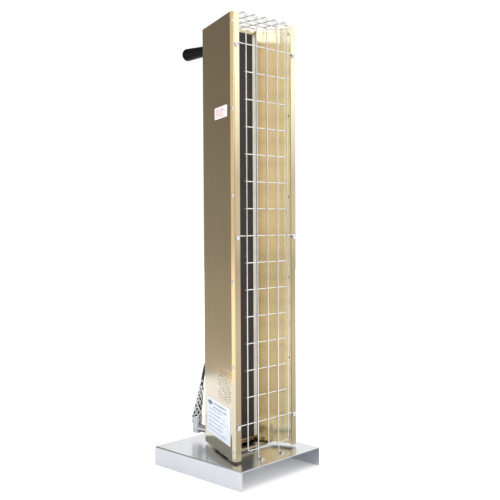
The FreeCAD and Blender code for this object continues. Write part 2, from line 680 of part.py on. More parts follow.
def uprights():
    """The five long wires, from the bottom row up and back over the open top."""
    wires = []
    right, up, back = Vector(1, 0, 0), Vector(0, 0, 1), Vector(0, 1, 0)
    for i in UPRIGHTS:
        x, bottom = f"({i} * guard_pitch_x)", guard_level(0)
        if abs(i) == 2:
            bottom = f"({guard_level(0)} + guard_bend)"
        if abs(i) == 1:
            bottom = f"({FOOT_Z} + guard_bend)"
        turn = f"({TOP_LONG_Z} - guard_bend)"
        last_row = 2 if abs(i) == 2 else TOP_ROWS - 1
        stop = f"({FACE} + {top_setback(last_row)} + wire)"
        over = f"({UPRIGHT_Y} + guard_bend)"
        wires += [
            rod(f"upright_{i + 2}", "wire / 2", f"{turn} - {bottom}", x, UPRIGHT_Y, bottom),
            quarter(f"upright_bend_{i + 2}", x, over, turn, -back, up),
            rod(f"upright_back_{i + 2}", "wire / 2", f"{stop} - {over}", x, over, TOP_LONG_Z, "y")]
        if abs(i) == 2:
            side = right if i > 0 else -right
            wires.append(quarter(f"corner_{i + 2}", f"{x} - {i // 2} * guard_bend", UPRIGHT_Y,
                                 bottom, side, -up))
        if abs(i) == 1:
            wires.append(quarter(f"foot_bend_{i + 2}", x, f"{UPRIGHT_Y} - guard_bend", bottom,
                                 back, -up))
            ring_y = f"({FRONT} + foot_eye_depth)"
            wires.append(rod(f"foot_run_{i + 2}", "wire / 2",
                             f"{UPRIGHT_Y} - guard_bend - {ring_y} - eye_radius", x,
                             f"{ring_y} + eye_radius", FOOT_Z, "y"))
            wires.append(eye(f"foot_eye_{i + 2}", x, ring_y, FOOT_Z, "z"))
    return wires


def cross_wires():
    """The rows of cross wires on the front, three of them ending in screw eyes."""
    half = "(2 * guard_pitch_x - guard_bend)"
    wires = [rod("bottom_row", "wire / 2", f"2 * {half}", f"-{half}", UPRIGHT_Y, guard_level(0),
                 "x")]
    for row in range(1, 16):
        half = CLIP_REACH if row in CLIP_ROWS else "(2 * guard_pitch_x + wire)"
        wires.append(rod(f"row_{row}", "wire / 2", f"2 * {half}", f"-{half}", WIRE_Y,
                         guard_level(row), "x"))
    for i, (x, z) in enumerate(CLIP_SPOTS):
        wires.append(eye(f"clip_eye_{i}", x, WIRE_Y, z, "y"))
    return wires


def top_wires():
    """The cross wires over the top, each cut to the taper of the column."""
    wires = []
    for row in range(TOP_ROWS):
        setback = top_setback(row)
        half = (f"(front_width / 2 - ({setback} - strip_depth) * {SLOPE} - top_side_gap)")
        wires.append(rod(f"top_row_{row}", "wire / 2", f"2 * {half}", f"-{half}",
                         f"{FACE} + {setback}", TOP_CROSS_Z, "x"))
    return wires


def wire_guard():
    keep(join("wire_guard", uprights() + cross_wires() + top_wires()), "wire_guard")
    clips = [screw(f"clip_screw_{i}", x, f"{FACE} - wire", z, "y", "side_screw_length", 1)
             for i, (x, z) in enumerate(CLIP_SPOTS)]
    keep(group("guard_screws", clips), "guard_screws")
    feet = [screw(f"foot_screw_{i}", x, y, "base_height + wire", "z", "foot_screw_length", -1)
            for i, (x, y) in enumerate(FOOT_SPOTS)]
    keep(group("guard_foot_screws", feet), "guard_foot_screws")
    nuts = [bored_hexagon(f"foot_nut_{i}", "small_nut", "small_screw", "small_nut_height", x, y,
                          "base_height - base_sheet - small_nut_height")
            for i, (x, y) in enumerate(FOOT_SPOTS)]
    keep(group("guard_foot_nuts", nuts), "guard_foot_nuts")


# ---------------------------------------------------------------- handle


def handle():
    """A tapered round grip on a stud, with a brace, washer and nut inside the back panel."""
    body = new_body("handle_turned")
    sketch = new_sketch(body, "YZ_Plane")
    draw_outline(sketch, [("0", "0"), ("handle_reach", "0"), ("handle_reach", "handle_end"),
                          ("0", "handle_root")])
    turned = body.newObject("PartDesign::Revolution", "handle_revolution")
    turned.Profile = sketch
    turned.ReferenceAxis = (sketch, ["H_Axis"])
    turned.Angle = 360
    body.Tip = turned
    doc.recompute()
    rim = max(range(len(turned.Shape.Edges)),
              key=lambda i: (round(turned.Shape.Edges[i].BoundBox.YMin, 3),
                             turned.Shape.Edges[i].Length))
    dome = body.newObject("PartDesign::Fillet", "handle_dome")
    dome.Base = (turned, [f"Edge{rim + 1}"])
    bind(dome, Radius="handle_round")
    body.Tip = dome
    place(body, 0, BACK, HANDLE_Z)
    keep(cut("handle_grip", body, rod("handle_bore", "stud", "stud_grip", 0, BACK, HANDLE_Z, "y")),
         "handle_grip")
    inside = "(brace_sheet + washer_thickness + handle_nut_height + stud_tail)"
    keep(rod("handle_stud", "stud", f"{inside} + shell_sheet + stud_grip", 0,
             f"{BACK_IN} - {inside}", HANDLE_Z, "y"), "handle_stud")
    brace = box("brace_plate", "brace_width", "brace_sheet", "brace_height", 0,
                f"{BACK_IN} - brace_sheet", f"{HANDLE_Z} - brace_height / 2")
    hole = rod("brace_hole", "stud + hole_gap", "brace_sheet", 0, f"{BACK_IN} - brace_sheet",
               HANDLE_Z, "y")
    keep(cut("handle_brace", brace, hole), "handle_brace")
    keep(washer("handle_washer", "washer", "stud + hole_gap", "washer_thickness", 0,
                f"{BACK_IN} - brace_sheet - washer_thickness", HANDLE_Z, "y"), "handle_washer")
    keep(bored_hexagon("handle_nut_piece", "handle_nut", "stud", "handle_nut_height", 0,
                       f"{BACK_IN} - brace_sheet - washer_thickness - handle_nut_height",
                       HANDLE_Z, "y"), "handle_nut")


# ---------------------------------------------------------------- cord fitting, wiring and cord

FITTING_Z = "(base_height + fitting_clear)"
GRIP_Z = f"({FITTING_Z} + fitting_height + grip_nut_height)"
BLOCK_Z = f"({FLOOR_OF_BOX} + block_rise)"


def cord_fitting():
    """A right-angle fitting on the back panel, its locknut, clamp nut, mesh grip and band."""
    x, y = "-fitting_x", FITTING_Y
    solid = join("elbow_solid", [
        rod("elbow_body", "fitting_radius", "fitting_height", x, y, FITTING_Z),
        rod("elbow_leg", "leg_radius", "fitting_throw", x, BACK, LEG_Z, "y"),
        rod("elbow_collar", "fitting_radius", "locknut_height", x, BACK, LEG_Z, "y"),
        rod("elbow_nipple", "nipple_radius", "shell_sheet + nipple_end", x,
            f"{BACK_IN} - nipple_end", LEG_Z, "y")])
    bores = group("elbow_bores", [
        rod("elbow_bore_up", "bore", "fitting_height - leg_rise + bore", x, y, f"{LEG_Z} - bore"),
        rod("elbow_bore_in", "entry_bore", "fitting_throw + shell_sheet + nipple_end", x,
            f"{BACK_IN} - nipple_end", LEG_Z, "y")])
    keep(cut("cord_elbow", solid, bores), "cord_elbow")
    keep(bored_hexagon("elbow_locknut_piece", "locknut", "nipple_radius", "locknut_height", x,
                       f"{BACK_IN} - locknut_height", LEG_Z, "y"), "elbow_locknut")
    nut = rod("grip_nut_solid", "grip_nut_radius", "grip_nut_height", x, y,
              f"{GRIP_Z} - grip_nut_height")
    mouth = rod("grip_nut_mouth", "bore", "grip_nut_height / 2", x, y,
                f"{GRIP_Z} - grip_nut_height")
    keep(cut("grip_nut_piece", nut, mouth), "grip_nut")
    body = new_body("cord_grip")
    sections = []
    for inner in (False, True):
        wall = " - grip_wall" if inner else ""
        rings = [new_sketch(body, "XY_Plane"), new_sketch(body, "XY_Plane", "grip_rise")]
        draw_circle(rings[0], "0", "0", "grip_root" + wall)
        draw_circle(rings[1], "grip_shift_x", "-grip_shift_y", "grip_tip" + wall)
        sections.append(rings)
    for kind, rings in zip(("AdditiveLoft", "SubtractiveLoft"), sections):
        loft = body.newObject("PartDesign::" + kind, "grip_" + kind)
        loft.Profile = rings[0]
        loft.Sections = [rings[1]]
        body.Tip = loft
    keep(place(body, x, y, GRIP_Z), "cord_grip")


def wiring():
    """Terminal block, its screws and the leads to the cord, the element and the tip switch."""
    y = f"{BACK_IN} - block_depth"
    keep(box("terminal_block", "block_width", "block_depth", "block_height", 0, y, BLOCK_Z),
         "terminal_block")
    heads = [rod(f"terminal_screw_{i}", "small_head", "small_head_height",
                 f"({i} - 1.5) * 12", f"{y} - small_head_height",
                 f"{BLOCK_Z} + block_height / 2", "y") for i in range(4)]
    keep(group("terminal_screws", heads), "terminal_screws")
    back_in, bottom, top = number(BACK_IN), number(BLOCK_Z), number(f"{BLOCK_Z} + block_height")
    row, mouth_z, diameter = back_in - number("block_depth") / 2, number(LEG_Z), number("lead")
    mouth_y, mouth_x = back_in - number("nipple_end"), -number("fitting_x")
    supply = []
    for i, offset in enumerate((-3, 0, 3)):
        x, x_end, drop = mouth_x + offset, -20 + 6 * i, 2 * i - 2
        supply.append(tube_along(f"supply_lead_{i}", [
            (x, mouth_y + 3, mouth_z + drop), (x, mouth_y - 12, mouth_z + drop),
            (x_end, row, mouth_z + 26), (x_end, row, bottom)], diameter))
    feature("supply_leads", Part.makeCompound(supply))
    terminal_x, terminal_z = number(TERMINAL_X), number(TERMINAL_Z)
    stud_end = number(f"{BOARD_Y} + board_thickness + pan_sheet + stud_out")
    leads = []
    for side in (-1, 1):
        x = side * terminal_x
        leads.append(tube_along(f"element_lead_{side + 1}", [
            (side * 19, row, top), (side * 19, row, top + 24), (x, stud_end + 26, top + 20),
            (x, stud_end + 20, terminal_z), (x, stud_end, terminal_z)], diameter))
    feature("element_leads", Part.makeCompound(leads))
    switch_back = number(f"{SWITCH_Y} + switch_depth / 2")
    hole_y, low = number(WIRE_HOLE[1]), number("base_height") - 10
    leads = [tube_along(f"switch_lead_{i}", [
        (x, switch_back, low), (x, hole_y, low), (x, hole_y, low + 45),
        (x + 5, row, bottom - 22), (x + 5, row, bottom)], diameter)
        for i, x in enumerate((-2.2, 2.2))]
    feature("switch_leads", Part.makeCompound(leads))


# The cord's own points: out of the grip, over in an arch, down behind the base to the floor.
CORD_ROUTE = [
    (-17.5, 129, 121), (-17.5, 129, 139), (-12.2, 125.4, 172), (-6.2, 121.4, 207),
    (-1.5, 119.2, 240), (7, 118.5, 270), (26, 118.8, 295), (55, 120, 307), (85, 123, 299),
    (106, 128.5, 274), (114, 136, 239), (116.5, 145.5, 200), (116, 156, 161),
    (114.5, 165, 124), (112.5, 172, 89), (113, 176.5, 56), (124, 178.5, 27),
    (149, 178, 9.5), (172, 178.3, 5.7), (194, 178, 5.5)]
COIL_CENTRE = (216, 240.5)
COIL_LAYERS = 2
TAIL_ROUTE = [(238, 178, 14.1), (251, 177.6, 13.8), (263, 178, 13.2), (274, 178, 13.2)]
BAND_OFFSET = 10


def cord_band(diameter):
    """The band that closes the grip round the cord, just past the grip's tip."""
    at, way = Vector(*CORD_ROUTE[3]), Vector(*CORD_ROUTE[4]) - Vector(*CORD_ROUTE[3])
    way.normalize()
    start = at + way * BAND_OFFSET
    band = Part.makeCylinder(number("band_radius"), number("band_height"), start, way)
    hole = Part.makeCylinder(diameter / 2, number("band_height"), start, way)
    feature("grip_band", band.cut(hole))


def cord_coil():
    """The put-away coil as one ring with rounded edges, and the tie round it."""
    x, y = COIL_CENTRE
    inner, outer = "(coil_inner - cord / 2)", "(coil_outer + cord / 2)"
    thick = f"{COIL_LAYERS} * cord"
    ring = cut("coil_ring", rod("coil_disc", outer, thick, x, y, "coil_lift"),
               rod("coil_eye", inner, thick, x, y, "coil_lift"))
    doc.recompute()
    rounded = doc.addObject("Part::Fillet", "cord_coil")
    rounded.Base = ring
    rounding = number("coil_round")
    rounded.Edges = [(i, rounding, rounding) for i, edge in enumerate(ring.Shape.Edges, start=1)
                     if edge.Curve.TypeId == "Part::GeomCircle"]
    keep(rounded, "cord_coil")
    middle = f"{x} + ({inner} + {outer}) / 2"
    width, height = f"({outer} - {inner} + 2 * tie_side_gap)", f"({thick} + 2 * tie_gap)"
    hole = box("tie_hole", width, "tie_width", height, middle, f"{y} - tie_width / 2",
               "coil_lift - tie_gap")
    strap = box("tie_strap_block", f"{width} + 2 * tie_strap", "tie_width",
                f"{height} + 2 * tie_strap", middle, f"{y} - tie_width / 2",
                "coil_lift - tie_gap - tie_strap")
    keep(cut("cord_tie", strap, hole), "cord_tie")


def plug():
    """A round three-pin plug on the end of the cord."""
    x, y, z = TAIL_ROUTE[-1]
    relief = doc.addObject("Part::Cone", "plug_relief")
    bind(relief, Radius1="cord / 2 + relief_lip", Radius2="relief_root", Height="plug_relief")
    relief.Placement.Rotation = FreeCAD.Rotation(*AXES["x"])
    place(relief, x, y, z)
    barrel = rod("plug_barrel", "plug_radius", "plug_barrel", f"{x} + plug_relief", y, z, "x")
    keep(join("plug_body", [relief, barrel]), "plug_body")
    face = f"{x} + plug_relief + plug_barrel"
    pins = [rod("plug_pin", "pin_radius", "pin_length", face, y, f"{z} + pin_rise", "x")]
    for side in (-1, 1):
        blade = doc.addObject("Part::Box", f"plug_blade_{side + 1}")
        bind(blade, Length="blade_length", Width="blade_sheet", Height="blade_width")
        pins.append(place(blade, face, f"{y} + {side} * blade_pitch / 2 - blade_sheet / 2",
                          f"{z} - blade_drop - blade_width / 2"))
    keep(group("plug_pins", pins), "plug_pins")


def cord():
    """The supply cord with its band, its put-away coil and its plug."""
    diameter = number("cord")
    feature("power_cord", tube_along("power_cord", CORD_ROUTE, diameter))
    feature("cord_tail", tube_along("cord_tail", TAIL_ROUTE, diameter))
    cord_band(diameter)
    cord_coil()
    plug()


# ---------------------------------------------------------------- tip-over switch


def tip_switch():
    """A plunger switch under the base top. The floor holds its foot up while the heater stands."""
    under = "(base_height - base_sheet)"
    bottom = f"({under} - switch_height)"
    block = box("switch_block", "switch_width", "switch_depth", "switch_height", 0,
                f"{SWITCH_Y} - switch_depth / 2", bottom)
    holes = [rod("switch_bore", "plunger + plunger_gap", "switch_height - bore_top", 0, SWITCH_Y,
                 bottom)]
    screws = []
    for i, (x, y) in enumerate(SWITCH_SPOTS):
        holes.append(rod(f"switch_pilot_{i}", "small_screw", "side_screw_length", x, y,
                         "base_height - side_screw_length"))
        screws.append(screw(f"switch_screw_{i}", x, y, "base_height", "z", "side_screw_length",
                            -1))
    keep(cut("tip_switch_body", block, group("switch_holes", holes)), "tip_switch_body")
    keep(group("tip_switch_screws", screws), "tip_switch_screws")
    keep(join("tip_switch_plunger", [
        rod("plunger_foot", "foot_radius", "foot_height", 0, SWITCH_Y, "floor_gap"),
        rod("plunger_rod", "plunger", f"{under} - plunger_top - floor_gap", 0, SWITCH_Y,
            "floor_gap")]), "tip_switch_plunger")
    body = new_body("tip_switch_spring")
    sketch = new_sketch(body, "XZ_Plane")
    draw_circle(sketch, "spring_radius", "spring_wire / 2", "spring_wire / 2")
    coil = body.newObject("PartDesign::AdditiveHelix", "spring_coil")
    coil.Profile = sketch
    coil.ReferenceAxis = (sketch, ["V_Axis"])
    coil.Mode = "height-turns-growth"
    height = f"({bottom} - floor_gap - foot_height - spring_wire)"
    bind(coil, Height=height, Turns="spring_turns")
    body.Tip = coil
    keep(place(body, 0, SWITCH_Y, "floor_gap + foot_height"), "tip_switch_spring")


# ---------------------------------------------------------------- labels


def labels():
    """Two blank stickers on the left side panel."""
    run = "((front_width - back_width) / 2)"
    angle = f"atan((housing_depth - strip_depth) / {run})"
    for name in ("upper_label", "lower_label"):
        obj = doc.addObject("Part::Box", name)
        bind(obj, Length=name + "_width", Width="label_sheet", Height=name + "_height",
             Placement__Rotation__Angle=angle)
        place(obj, f"-front_width / 2 + cos({angle}) * {name}_setback",
              f"{FACE} + strip_depth + sin({angle}) * {name}_setback",
              f"{name}_z - {name}_height / 2")
        keep(obj, name)


def write_parts():
    """Checks every object and shape, then writes one STEP file for each sub-part."""
    doc.recompute()
    bad = [o.Name for o in doc.Objects if {"Invalid", "Error"} & set(o.State)]
    bad += [o.Label for o in parts if o.Shape.isNull() or not o.Shape.isValid()
            or not o.Shape.Solids]
    bad += [o.Name for o in doc.Objects if o.TypeId == "Part::Cut"
            and o.Shape.Volume > o.Base.Shape.Volume - 0.1]
    if bad:
        raise ValueError(f"failed: {bad}")
    os.makedirs("parts", exist_ok=True)
    for obj in parts:
        obj.Shape.exportStep(f"parts/{obj.Label}.step")
    print(len(parts), "parts written")


base_channel()
base_fasteners()
housing_shell()
reflector(-1, "left_reflector")
reflector(1, "right_reflector")
end_plates()
housing_screws()
emitter_stack()
terminals()
hangers()
wire_guard()
handle()
cord_fitting()
wiring()
cord()
tip_switch()
labels()
write_parts()
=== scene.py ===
"""Visual model of a free-standing infrared heater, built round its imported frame.

Metres, +Z up, front towards -Y, origin on the floor.
"""
import logging
import math
from dataclasses import dataclass, field
from enum import Enum
from typing import Sequence

import bmesh
import bpy
from mathutils import Matrix, Vector


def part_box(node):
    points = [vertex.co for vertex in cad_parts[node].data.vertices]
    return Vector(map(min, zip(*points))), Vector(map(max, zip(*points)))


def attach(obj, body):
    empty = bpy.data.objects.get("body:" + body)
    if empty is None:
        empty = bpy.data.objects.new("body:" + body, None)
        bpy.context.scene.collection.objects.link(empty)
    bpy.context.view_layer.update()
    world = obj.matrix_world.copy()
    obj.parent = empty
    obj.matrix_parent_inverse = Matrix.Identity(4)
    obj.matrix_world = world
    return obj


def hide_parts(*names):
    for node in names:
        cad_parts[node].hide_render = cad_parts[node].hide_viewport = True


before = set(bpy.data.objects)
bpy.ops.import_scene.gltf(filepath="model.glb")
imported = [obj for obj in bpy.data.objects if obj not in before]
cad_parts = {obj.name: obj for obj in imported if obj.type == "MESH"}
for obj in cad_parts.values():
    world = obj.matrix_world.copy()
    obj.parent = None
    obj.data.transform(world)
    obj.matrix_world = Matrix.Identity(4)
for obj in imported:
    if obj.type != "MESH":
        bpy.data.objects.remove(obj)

LOG = logging.getLogger("heater")
MM = 0.001
HEATER = "heater"
Rgb = tuple[float, float, float]
Point = tuple[float, float, float]


class Axis(Enum):
    """A direction that a turned piece or a screw points in."""

    LEFT = (-1, 0, 0)
    RIGHT = (1, 0, 0)
    FRONT = (0, -1, 0)
    BACK = (0, 1, 0)
    UP = (0, 0, 1)

    def turn(self) -> Matrix:
        """The rotation that takes +Z to this direction."""
        return Vector(self.value).to_track_quat("Z", "Y").to_matrix().to_4x4()


# ---------------------------------------------------------------- node trees


class Nodes:
    """Places and joins the nodes of one tree."""

    def __init__(self, tree: bpy.types.NodeTree) -> None:
        """Keeps the tree that the nodes go into."""
        self.tree = tree

    def add(self, kind: str, values: dict | None = None, **settings: object) -> bpy.types.Node:
        """Adds a node.

        Args:
            kind: The node's type.
            values: Numbers, or sockets to link from, by the input's name or index.
            **settings: The node's own properties.

        Returns:
            The node.
        """
        node = self.tree.nodes.new(kind)
        for key, value in settings.items():
            setattr(node, key, value)
        for key, value in (values or {}).items():
            self.put(node, key, value)
        return node

    def put(self, node: bpy.types.Node, key: str | int, value: object) -> None:
        """Sets an input to a number, or links it from a socket.

        Args:
            node: The node.
            key: The input's name or index.
            value: A number, or a socket to link from.
        """
        if isinstance(value, bpy.types.NodeSocket):
            self.tree.links.new(value, node.inputs[key])
        else:
            node.inputs[key].default_value = value

    def math(self, operation: str, *terms: object) -> bpy.types.NodeSocket:
        """A Math node's result."""
        node = self.add("ShaderNodeMath", dict(enumerate(terms)), operation=operation)
        return node.outputs[0]

    def vector(self, operation: str, *terms: object) -> bpy.types.NodeSocket:
        """A Vector Math node's first result."""
        node = self.add("ShaderNodeVectorMath", dict(enumerate(terms)), operation=operation)
        return node.outputs[0]

    def span(self, value: object, low: float, high: float, start: object,
             end: object) -> bpy.types.NodeSocket:
        """A value's range low to high, brought to start to end and held there.

        Args:
            value: The value.
            low: The low end of its range.
            high: The high end of its range.
            start: What the low end becomes.
            end: What the high end becomes.

        Returns:
            The result.
        """
        node = self.add("ShaderNodeMapRange", {"Value": value, "From Min": low, "From Max": high,
                                               "To Min": start, "To Max": end})
        return node.outputs[0]

    def blend(self, share: object, first: object, second: object) -> bpy.types.NodeSocket:
        """A mix of two colours.

        Args:
            share: How much of the second.
            first: A colour.
            second: Another colour.

        Returns:
            The mixed colour.
        """
        node = self.add("ShaderNodeMix", data_type="RGBA")
        self.put(node, 0, share)
        self.put(node, 6, first)
        self.put(node, 7, second)
        return node.outputs[2]

    def noise(self, vector: object, scale: object, detail: float = 3,
              rough: float = 0.55) -> bpy.types.NodeSocket:
        """A noise texture's strength."""
        return self.add("ShaderNodeTexNoise", {"Vector": vector, "Scale": scale, "Detail": detail,
                                               "Roughness": rough}).outputs[0]


SOCKETS = {float: "NodeSocketFloat", int: "NodeSocketInt", Vector: "NodeSocketVector",
           tuple: "NodeSocketColor", "object": "NodeSocketObject",
           "material": "NodeSocketMaterial", "geometry": "NodeSocketGeometry"}


def open_group(name: str, kind: str, takes: dict[str, object],
               gives: dict[str, object]) -> tuple[Nodes, dict, bpy.types.Node]:
    """Starts a node group.

    Args:
        name: The group's name.
        kind: ShaderNodeTree or GeometryNodeTree.
        takes: Each input's name and its default value, or its kind in words.
        gives: Each output's name and kind.

    Returns:
        The group's nodes, its inputs by name, and its output node.
    """
    tree = bpy.data.node_groups.new(name, kind)
    for label, value in takes.items():
        sort = SOCKETS[value if isinstance(value, str) else type(value)]
        socket = tree.interface.new_socket(label, in_out="INPUT", socket_type=sort)
        if isinstance(value, tuple):
            socket.default_value = (*value, 1)
        elif not isinstance(value, str):
            socket.default_value = value
    for label, value in gives.items():
        tree.interface.new_socket(label, in_out="OUTPUT", socket_type=SOCKETS[value])
    nodes = Nodes(tree)
    inputs = nodes.add("NodeGroupInput").outputs
    return nodes, {label: inputs[label] for label in takes}, nodes.add("NodeGroupOutput")


class Effects:
    """The surface effects that several finishes share, each one node group."""

    def __init__(self) -> None:
        """Builds every effect once."""
        self.grain = self.build_grain()
        self.handling = self.build_handling()
        self.drift = self.build_drift()
        self.settled = self.build_settled()
        self.dashes = self.build_dashes()

    @staticmethod
    def build_grain() -> bpy.types.NodeTree:
        """Fine streaks along one direction, as rolling or brushing leaves them.

        Returns:
            The group's tree.
        """
        nodes, takes, out = open_group("grain_streaks", "ShaderNodeTree", {
            "Vector": Vector((0, 0, 0)), "Stretch": Vector((1, 1, 1)), "Scale": 400.0},
            {"Height": float, "Mask": float})
        drawn = nodes.vector("MULTIPLY", takes["Vector"], takes["Stretch"])
        fine = nodes.noise(drawn, takes["Scale"], 4, 0.7)
        wide = nodes.noise(drawn, nodes.math("MULTIPLY", takes["Scale"], 0.12), 2, 0.5)
        nodes.put(out, "Height", nodes.math("MULTIPLY_ADD", wide, 0.6, fine))
        nodes.put(out, "Mask", nodes.span(nodes.math("ADD", fine, wide), 0.7, 1.3, 0.0, 1.0))
        return nodes.tree

    @staticmethod
    def build_handling() -> bpy.types.NodeTree:
        """Patches where hands and cloths have left a surface glossier or duller.

        Returns:
            The group's tree.
        """
        nodes, takes, out = open_group("handling_marks", "ShaderNodeTree", {
            "Vector": Vector((0, 0, 0)), "Size": 0.08, "Glossy": 0.15, "Dull": 0.3},
            {"Roughness": float, "Mask": float})
        rate = nodes.math("DIVIDE", 1.0, takes["Size"])
        broad = nodes.noise(takes["Vector"], rate, 4, 0.6)
        rubbed = nodes.noise(takes["Vector"], nodes.math("MULTIPLY", rate, 6.0), 2, 0.5)
        mask = nodes.span(nodes.math("MULTIPLY_ADD", rubbed, 0.35, broad), 0.42, 0.95, 0.0, 1.0)
        span = nodes.math("SUBTRACT", takes["Dull"], takes["Glossy"])
        nodes.put(out, "Roughness", nodes.math("MULTIPLY_ADD", mask, span, takes["Glossy"]))
        nodes.put(out, "Mask", mask)
        return nodes.tree

    @staticmethod
    def build_drift() -> bpy.types.NodeTree:
        """A slow change between two close colours, with a little streaking.

        Returns:
            The group's tree.
        """
        nodes, takes, out = open_group("tone_drift", "ShaderNodeTree", {
            "Vector": Vector((0, 0, 0)), "Size": 0.2, "Streak": 0.0, "First": (0.8, 0.8, 0.8),
            "Second": (0.7, 0.7, 0.7)}, {"Color": tuple})
        slow = nodes.noise(takes["Vector"], nodes.math("DIVIDE", 1.0, takes["Size"]), 3, 0.5)
        share = nodes.span(nodes.math("MULTIPLY_ADD", takes["Streak"], 0.35, slow), 0.3, 0.9,
                           0.0, 1.0)
        nodes.put(out, "Color", nodes.blend(share, takes["First"], takes["Second"]))
        return nodes.tree

    @staticmethod
    def build_settled() -> bpy.types.NodeTree:
        """A thin film of dust on what faces up, laid over a colour.

        Returns:
            The group's tree.
        """
        nodes, takes, out = open_group("settled_dust", "ShaderNodeTree", {
            "Vector": Vector((0, 0, 0)), "Base": (0.5, 0.5, 0.5), "Dust": (0.62, 0.6, 0.56),
            "Amount": 0.2}, {"Color": tuple, "Metallic": float})
        facing = nodes.add("ShaderNodeSeparateXYZ", {
            0: nodes.add("ShaderNodeNewGeometry").outputs["Normal"]}).outputs["Z"]
        patches = nodes.span(nodes.noise(takes["Vector"], 55.0, 5, 0.6), 0.35, 0.75, 0.3, 1.0)
        lies = nodes.span(facing, 0.55, 0.98, 0.0, takes["Amount"])
        share = nodes.math("MULTIPLY", lies, patches)
        nodes.put(out, "Color", nodes.blend(share, takes["Base"], takes["Dust"]))
        nodes.put(out, "Metallic", nodes.math("SUBTRACT", 1.0, share))
        return nodes.tree

    @staticmethod
    def build_dashes() -> bpy.types.NodeTree:
        """Rows of uneven dashes inside a margin, as blank ruled print.

        Returns:
            The group's tree.
        """
        nodes, takes, out = open_group("ruled_dashes", "ShaderNodeTree", {
            "Across": 0.0, "Up": 0.0, "Pitch": 0.006, "Left": 0.01, "Right": 0.09,
            "Low": 0.005, "High": 0.08, "Thick": 0.4}, {"Mask": float})
        row = nodes.math("DIVIDE", takes["Up"], takes["Pitch"])
        within = nodes.math("LESS_THAN", nodes.math("FRACT", row), takes["Thick"])
        index = nodes.math("FLOOR", row)
        letter = nodes.math("FLOOR", nodes.math("DIVIDE", takes["Across"], 0.0022))
        spot = nodes.add("ShaderNodeCombineXYZ", {"X": letter, "Y": index}).outputs[0]
        word = nodes.add("ShaderNodeTexWhiteNoise", {"Vector": spot}).outputs[0]
        ends = nodes.add("ShaderNodeTexWhiteNoise", {"W": index}, noise_dimensions="1D")
        reach = nodes.math("MULTIPLY_ADD", nodes.math("SUBTRACT", takes["Left"], takes["Right"]),
                           nodes.math("MULTIPLY", ends.outputs[0], 0.3), takes["Right"])
        for test in (nodes.math("GREATER_THAN", word, 0.2),
                     nodes.math("GREATER_THAN", takes["Across"], takes["Left"]),
                     nodes.math("LESS_THAN", takes["Across"], reach),
                     nodes.math("GREATER_THAN", takes["Up"], takes["Low"]),
                     nodes.math("LESS_THAN", takes["Up"], takes["High"])):
            within = nodes.math("MULTIPLY", within, test)
        nodes.put(out, "Mask", within)
        return nodes.tree


# ---------------------------------------------------------------- finishes


class Coat:
    """One material being made: its shader, its coordinates and its effects."""

    def __init__(self, name: str, effects: Effects, **constants: object) -> None:
        """Starts a material with its shader's constant inputs.

        Args:
            name: The material's name.
            effects: The shared surface effects.
            **constants: The shader's own inputs, an underscore for each space.
        """
        self.material = bpy.data.materials.new(name)
        self.material.use_nodes = True
        self.nodes = Nodes(self.material.node_tree)
        self.effects = effects
        self.shader = self.material.node_tree.nodes["Principled BSDF"]
        for key, value in constants.items():
            self.shader.inputs[key.replace("_", " ")].default_value = value
        place = self.nodes.add("ShaderNodeTexCoord")
        self.spot, self.sheet = place.outputs["Object"], place.outputs["UV"]

    def effect(self, tree: bpy.types.NodeTree, **values: object) -> bpy.types.Node:
        """Places a shared effect with this material's own values.

        Args:
            tree: The effect.
            **values: The effect's inputs.

        Returns:
            The placed node.
        """
        node = self.nodes.add("ShaderNodeGroup", node_tree=tree)
        for key, value in values.items():
            flat = isinstance(value, tuple) and key in ("First", "Second", "Base", "Dust")
            self.nodes.put(node, key, (*value, 1) if flat else value)
        return node

    def bump(self, height: bpy.types.NodeSocket, strength: float, distance: float) -> None:
        """Feeds a height to the shader's normal.

        Args:
            height: The height.
            strength: How strongly it shows.
            distance: Its depth in metres.
        """
        node = self.nodes.add("ShaderNodeBump", {"Height": height, "Strength": strength,
                                                 "Distance": distance})
        self.nodes.put(self.shader, "Normal", node.outputs[0])

    def feed(self, **sockets: bpy.types.NodeSocket) -> None:
        """Links sockets to the shader's inputs, an underscore for each space."""
        for key, socket in sockets.items():
            self.nodes.put(self.shader, key.replace("_", " "), socket)


